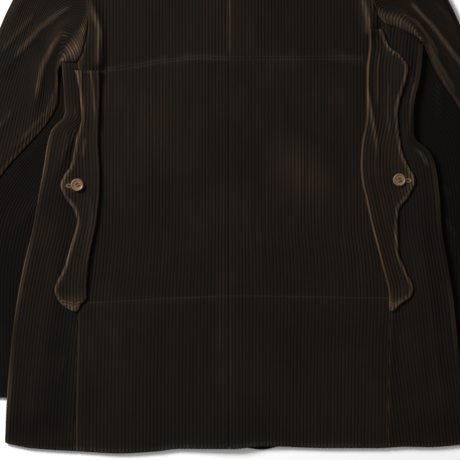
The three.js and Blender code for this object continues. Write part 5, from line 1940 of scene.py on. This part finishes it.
@dataclass
class Sewing:
    """All the rows of stitches, each laid on the cloth that it holds."""

    sink: float = 0.35
    first_out: float = 1.5
    foot_lifts: Row = (7.0, 11.5)
    foot_arrow: float = 10.0
    line_points: int = 120
    edge_points: int = 240
    foot_points: int = 24
    edge_thread_radius: float = 0.34

    def on_back(self, x: Array, up: Array) -> Array:
        """Return points just below the crests of the upper cloth."""
        z = LAY.back(x, up) + CLOTH / 2 + PROUD - self.sink
        return np.stack([x, up, z], 1)

    def pocket_rows(self) -> list[Stitches]:
        """Lay the twin rows above the game pocket and the row at its foot, on each half of the back.

        Returns:
            The rows.
        """
        rows = []
        for side in (LEFT, RIGHT):
            top_end, foot_end = (193.0, 212.0) if side is LEFT else (205.0, 239.0)
            x = side.sign * np.linspace(self.first_out, top_end, self.line_points)
            for number, drop in enumerate((0.0, TWIN_ROW_GAP), 1):
                up = POCKET_TOP_LINE.read("up", x) - drop
                rows.append(Stitches(f"pocket_top_stitches_{side.name}_{number}", self.on_back(x, up)))
            x = side.sign * np.linspace(self.first_out, foot_end, self.line_points)
            foot = self.on_back(x, POCKET_FOOT_LINE.read("up", x))
            rows.append(Stitches(f"pocket_foot_stitches_{side.name}", foot))
        return rows

    def on_flap(self, side: Side, x: Array, up: Array) -> Array:
        """Return points just below the crests of a flap."""
        z = LAY.flap(side, x, up) + LAY.flap_thickness / 2 + PROUD - self.sink
        return np.stack([x, up, z], 1)

    def flap_rows(self) -> list[Stitches]:
        """Lay the edge stitches of each flap, up its outer side, and the two rows of the arrow at its foot.

        Returns:
            The rows.
        """
        rows = []
        for side in (LEFT, RIGHT):
            up = np.linspace(side.flap.rows[0][0] + 12, side.flap.end - 4, self.edge_points)
            outer = side.flap.read("outer", up)
            slant = np.gradient(outer, up)
            x = side.sign * (outer - FLAP_STITCH_IN / np.sqrt(1 + slant**2))
            path = self.on_flap(side, x, up)
            rows.append(Stitches(f"flap_edge_stitches_{side.name}", path, radius=self.edge_thread_radius))
            for number, lift in enumerate(self.foot_lifts, 1):
                reach = np.linspace(0.12, 0.88, self.foot_points)
                up = side.flap.rows[0][0] + lift + self.foot_arrow * np.abs(reach - 0.35)
                x = side.sign * mix(side.flap.read("inner", up), side.flap.read("outer", up), reach)
                name = f"flap_foot_stitches_{side.name}_{number}"
                rows.append(Stitches(name, self.on_flap(side, x, up), finish=Finish.WORN_THREAD))
        return rows

    def build(self) -> list[bpy.types.Object]:
        """Build every row."""
        return [row.build() for row in (*self.pocket_rows(), *self.flap_rows())]


@dataclass
class Buttonhole:
    """A worked buttonhole: a slit with close stitches round it."""

    name: str
    out: float
    up: float
    side: Side
    length: float = 9.0
    width: float = 4.4
    thread: float = 0.4
    thread_sides: int = 6
    stitches: int = 26
    slit_corners: int = 20
    slit_in: Pair = (1.0, 0.6)
    slit_sink: float = 0.25
    slit_depth: float = 0.5
    stitch_shape: tuple[Row, ...] = ((-1.3, -0.4), (-0.6, 0.25), (0.6, 0.25), (1.3, -0.4))

    def build(self) -> bpy.types.Object:
        """Build the ring of stitches as one piece and lay a dark slit in it, painted shade in the opening.

        Returns:
            The ring of stitches.
        """
        work = bmesh.new()
        for turn in turns(self.stitches):
            heading = Vector((self.side.sign * math.cos(turn) * 0.5, math.sin(turn), 0)).normalized()
            join_rings(work, self.stitch(self.on_ring(turn, 0, 0), heading))
        ring = finish_small(work, self.name, Finish.WORN_THREAD)
        self.slit()
        return ring

    def on_ring(self, turn: float, in_out: float, in_up: float) -> Vector:
        """Find a point of the flap's face on the buttonhole's ring.

        Args:
            turn: the angle round the ring.
            in_out: how far the ring is moved in at its ends.
            in_up: how far it is moved in at its sides.

        Returns:
            The point.
        """
        x = self.side.sign * (self.out + math.cos(turn) * (self.length / 2 - in_out))
        up = self.up + math.sin(turn) * (self.width / 2 - in_up)
        middle = float(LAY.flap(self.side, np.array(x), np.array(up)))
        return Vector((x, up, middle + LAY.flap_thickness / 2 + PROUD))

    def slit(self) -> None:
        """Lay a thin dark lens where the buttonhole is open, painted shade in the opening."""
        work = bmesh.new()
        rim = [self.on_ring(turn, *self.slit_in) for turn in turns(self.slit_corners)]
        drops = (self.slit_sink, self.slit_sink + self.slit_depth)
        join_rings(work, [[in_frame(point - Vector((0, 0, drop))) for point in rim] for drop in drops])
        finish_small(work, f"{self.name}_slit", Finish.DARK)

    def stitch(self, centre: Vector, heading: Vector) -> list[list[Vector]]:
        """Shape one short thread across the slit's edge.

        Args:
            centre: its middle.
            heading: the way that it runs.

        Returns:
            Its rings of points.
        """
        upward = Vector((0, 0, 1))
        across = heading.cross(upward)
        rings = []
        for at, lift in self.stitch_shape:
            middle = centre + heading * at + upward * lift
            ways = [around(across, upward, turn) * self.thread for turn in turns(self.thread_sides)]
            rings.append([in_frame(middle + way) for way in ways])
        return rings


@dataclass
class Button:
    """A turned four-hole button with a raised rim, on a short foot, with its sewing thread."""

    node: str
    x: float
    up: float
    foot_z: float
    thickness: float
    foot: float
    facing: int = 1
    radius: float = 9.5
    hole_radius: float = 0.95
    hole_out: float = 2.52
    turn_degrees: float = 65.0
    around: int = 64
    hole_sides: int = 14
    hole_depth: float = 0.4
    hole_proud: float = 0.05
    thread_radius: float = 0.3
    thread_aside: float = 0.28
    thread_lift: float = 0.18
    face_share: float = 0.76
    foot_section: tuple[Row, ...] = ((0.35, 0.0), (0.4, 1.0))
    section: tuple[Row, ...] = (
        (0.9, 0.0), (0.97, 0.15), (1.0, 0.38), (0.985, 0.65), (0.93, 0.88), (0.87, 1.0), (0.8, 0.96),
        (0.74, 0.8), (0.66, 0.72), (0.55, 0.7), (0.42, 0.74),
    )

    def profile(self) -> list[Row]:
        """Return the button's half section, from the edge of its foot round the rim to the face's middle."""
        foot = [(out * self.radius, up * self.foot) for out, up in self.foot_section]
        return foot + [(out * self.radius, self.foot + up * self.thickness) for out, up in self.section]

    def place(self, point: Vector) -> Vector:
        """Return a point of the button in metres in the row's frame."""
        turned = Vector((point.x, point.y * self.facing, point.z * self.facing))
        return (turned + Vector((self.x, self.up - LAY.middle_up, self.foot_z))) * MM

    def build(self) -> bpy.types.Object:
        """Build the button with its holes, and the thread through them.

        Returns:
            The button.
        """
        work = bmesh.new()
        east, north = Vector((1, 0, 0)), Vector((0, 1, 0))
        ways = [around(east, north, turn) for turn in turns(self.around)]
        rings = [[self.place(way * out + Vector((0, 0, z))) for way in ways] for out, z in self.profile()]
        join_rings(work, rings)
        piece = finish_small(work, f"{self.node}_disc", Finish.HORN)
        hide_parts(self.node)
        self.holes()
        self.thread()
        log.info("%s: %.1f mm across", piece.name, 2 * self.radius)
        return piece

    def hole_places(self) -> list[Vector]:
        """Place the four holes.

        Returns:
            Their middles on the face.
        """
        face = self.foot + self.face_share * self.thickness
        angles = [math.radians(self.turn_degrees) + turn for turn in turns(4)]
        return [Vector((self.hole_out * math.cos(a), self.hole_out * math.sin(a), face)) for a in angles]

    def rod(self, work: bmesh.types.BMesh, start: Vector, end: Vector, radius: float) -> None:
        """Add a short closed rod.

        Args:
            work: the mesh in the making.
            start: the middle of one end.
            end: the middle of the other.
            radius: its radius.
        """
        along = (end - start).normalized()
        side = along.orthogonal().normalized()
        ways = [around(side, along.cross(side), turn) * radius for turn in turns(self.hole_sides)]
        join_rings(work, [[self.place(centre + way) for way in ways] for centre in (start, end)])

    def holes(self) -> None:
        """Lay four dark rods in the button's face, painted shade in its holes."""
        work = bmesh.new()
        for middle in self.hole_places():
            bottom = middle - Vector((0, 0, self.hole_depth))
            self.rod(work, bottom, middle + Vector((0, 0, self.hole_proud)), self.hole_radius)
        finish_small(work, f"{self.node}_holes", Finish.DARK)

    def thread(self) -> None:
        """Sew the button on with two bars of double thread."""
        work = bmesh.new()
        places = self.hole_places()
        for a, b in ((0, 1), (2, 3)):
            across = places[b] - places[a]
            aside = across.normalized().cross(Vector((0, 0, 1)))
            for shift in (-self.thread_aside, self.thread_aside):
                start = places[a] + Vector((0, 0, self.thread_lift)) + aside * shift
                self.rod(work, start, start + across, self.thread_radius)
        finish_small(work, f"{self.node}_thread", Finish.SEAM_THREAD)


@dataclass
class Buttons:
    """The two buttons of the pocket flaps and the four down the front, whose faces lie on the surface."""

    front_ups: Row = (255.0, 380.0, 505.0, 630.0)
    front_thickness: float = 2.6
    front_foot: float = 0.4
    flap_thickness: float = 3.2
    flap_foot: float = 0.9

    def build(self) -> None:
        """Build all the buttons and the buttonholes of the flaps."""
        for side in (LEFT, RIGHT):
            out, up = side.button
            x = side.sign * out
            z = float(LAY.flap(side, np.array(x), np.array(up))) + LAY.flap_thickness / 2 + 2 * SEAM_GAP
            Button(f"flap_button_{side.name}", x, up, z, self.flap_thickness, self.flap_foot).build()
            hole_out, hole_up = side.buttonhole
            Buttonhole(f"buttonhole_{side.name}", hole_out, hole_up, side).build()
        for number, up in enumerate(self.front_ups, 1):
            Button(
                f"front_button_{number}", 0.0, up, self.front_thickness,
                self.front_thickness - self.front_foot, self.front_foot, facing=-1,
            ).build()


@dataclass
class Jacket:
    """The whole jacket."""

    def build(self) -> None:
        """Build the pieces in the order in which they lie on the surface."""
        for side in (LEFT, RIGHT):
            for kind in (FrontPanel, TopSleeve, UnderSleeve, BackPanel, PocketFlap):
                kind(side).build()
        Collar(LEFT).build()
        Sewing().build()
        Buttons().build()


@dataclass
class Studio:
    """White paper, soft light from the upper left and a camera straight above."""

    floor_half_m: float = 4.0
    floor_drop_m: float = 0.0004
    camera_height_m: float = 2.4
    camera_x_m: float = 0.0015
    camera_y_m: float = -0.08395
    seen_m: float = 0.690
    seen_from_z_m: float = 0.009
    sensor_mm: float = 36.0
    key_place_m: Triple = (-1.9, 1.2, 1.35)
    key_size_m: float = 0.9
    key_watts: float = 115.0
    aim_m: Triple = (0.0, -0.1, 0.0)
    world_strength: float = 0.40

    def build(self) -> None:
        """Build the floor, the lights and the camera."""
        mesh = bpy.data.meshes.new("paper")
        h = self.floor_half_m
        z = -self.floor_drop_m
        mesh.from_pydata([(-h, -h, z), (h, -h, z), (h, h, z), (-h, h, z)], [], [(0, 1, 2, 3)])
        floor = add_object("paper", mesh)
        Finish.FLOOR.dress(floor)
        self.light()
        self.camera()

    def light(self) -> None:
        """Put up the key light and even light all round."""
        lamp = bpy.data.lights.new("key", "AREA")
        lamp.shape = "DISK"
        lamp.size = self.key_size_m
        lamp.energy = self.key_watts
        key = add_object("key", lamp)
        key.location = self.key_place_m
        aim = Vector(self.aim_m) - Vector(self.key_place_m)
        key.rotation_euler = aim.to_track_quat("-Z", "Y").to_euler()
        world = bpy.data.worlds.new("studio")
        world.use_nodes = True
        background = world.node_tree.nodes["Background"]
        background.inputs["Color"].default_value = (1, 1, 1, 1)
        background.inputs["Strength"].default_value = self.world_strength
        bpy.context.scene.world = world

    def camera(self) -> None:
        """Put the camera where it frames the jacket as the photograph does."""
        data = bpy.data.cameras.new("camera")
        data.sensor_width = self.sensor_mm
        data.lens = self.sensor_mm * self.camera_height_m / self.seen_m
        camera = add_object("camera", data)
        camera.location = (self.camera_x_m, self.camera_y_m, self.camera_height_m + self.seen_from_z_m)
        bpy.context.scene.camera = camera
        bpy.context.scene.view_settings.view_transform = "Standard"


def main() -> None:
    """Build the jacket and its studio."""
    logging.basicConfig(level=logging.INFO)
    Jacket().build()
    Studio().build()


if __name__ == "__main__":
    main()
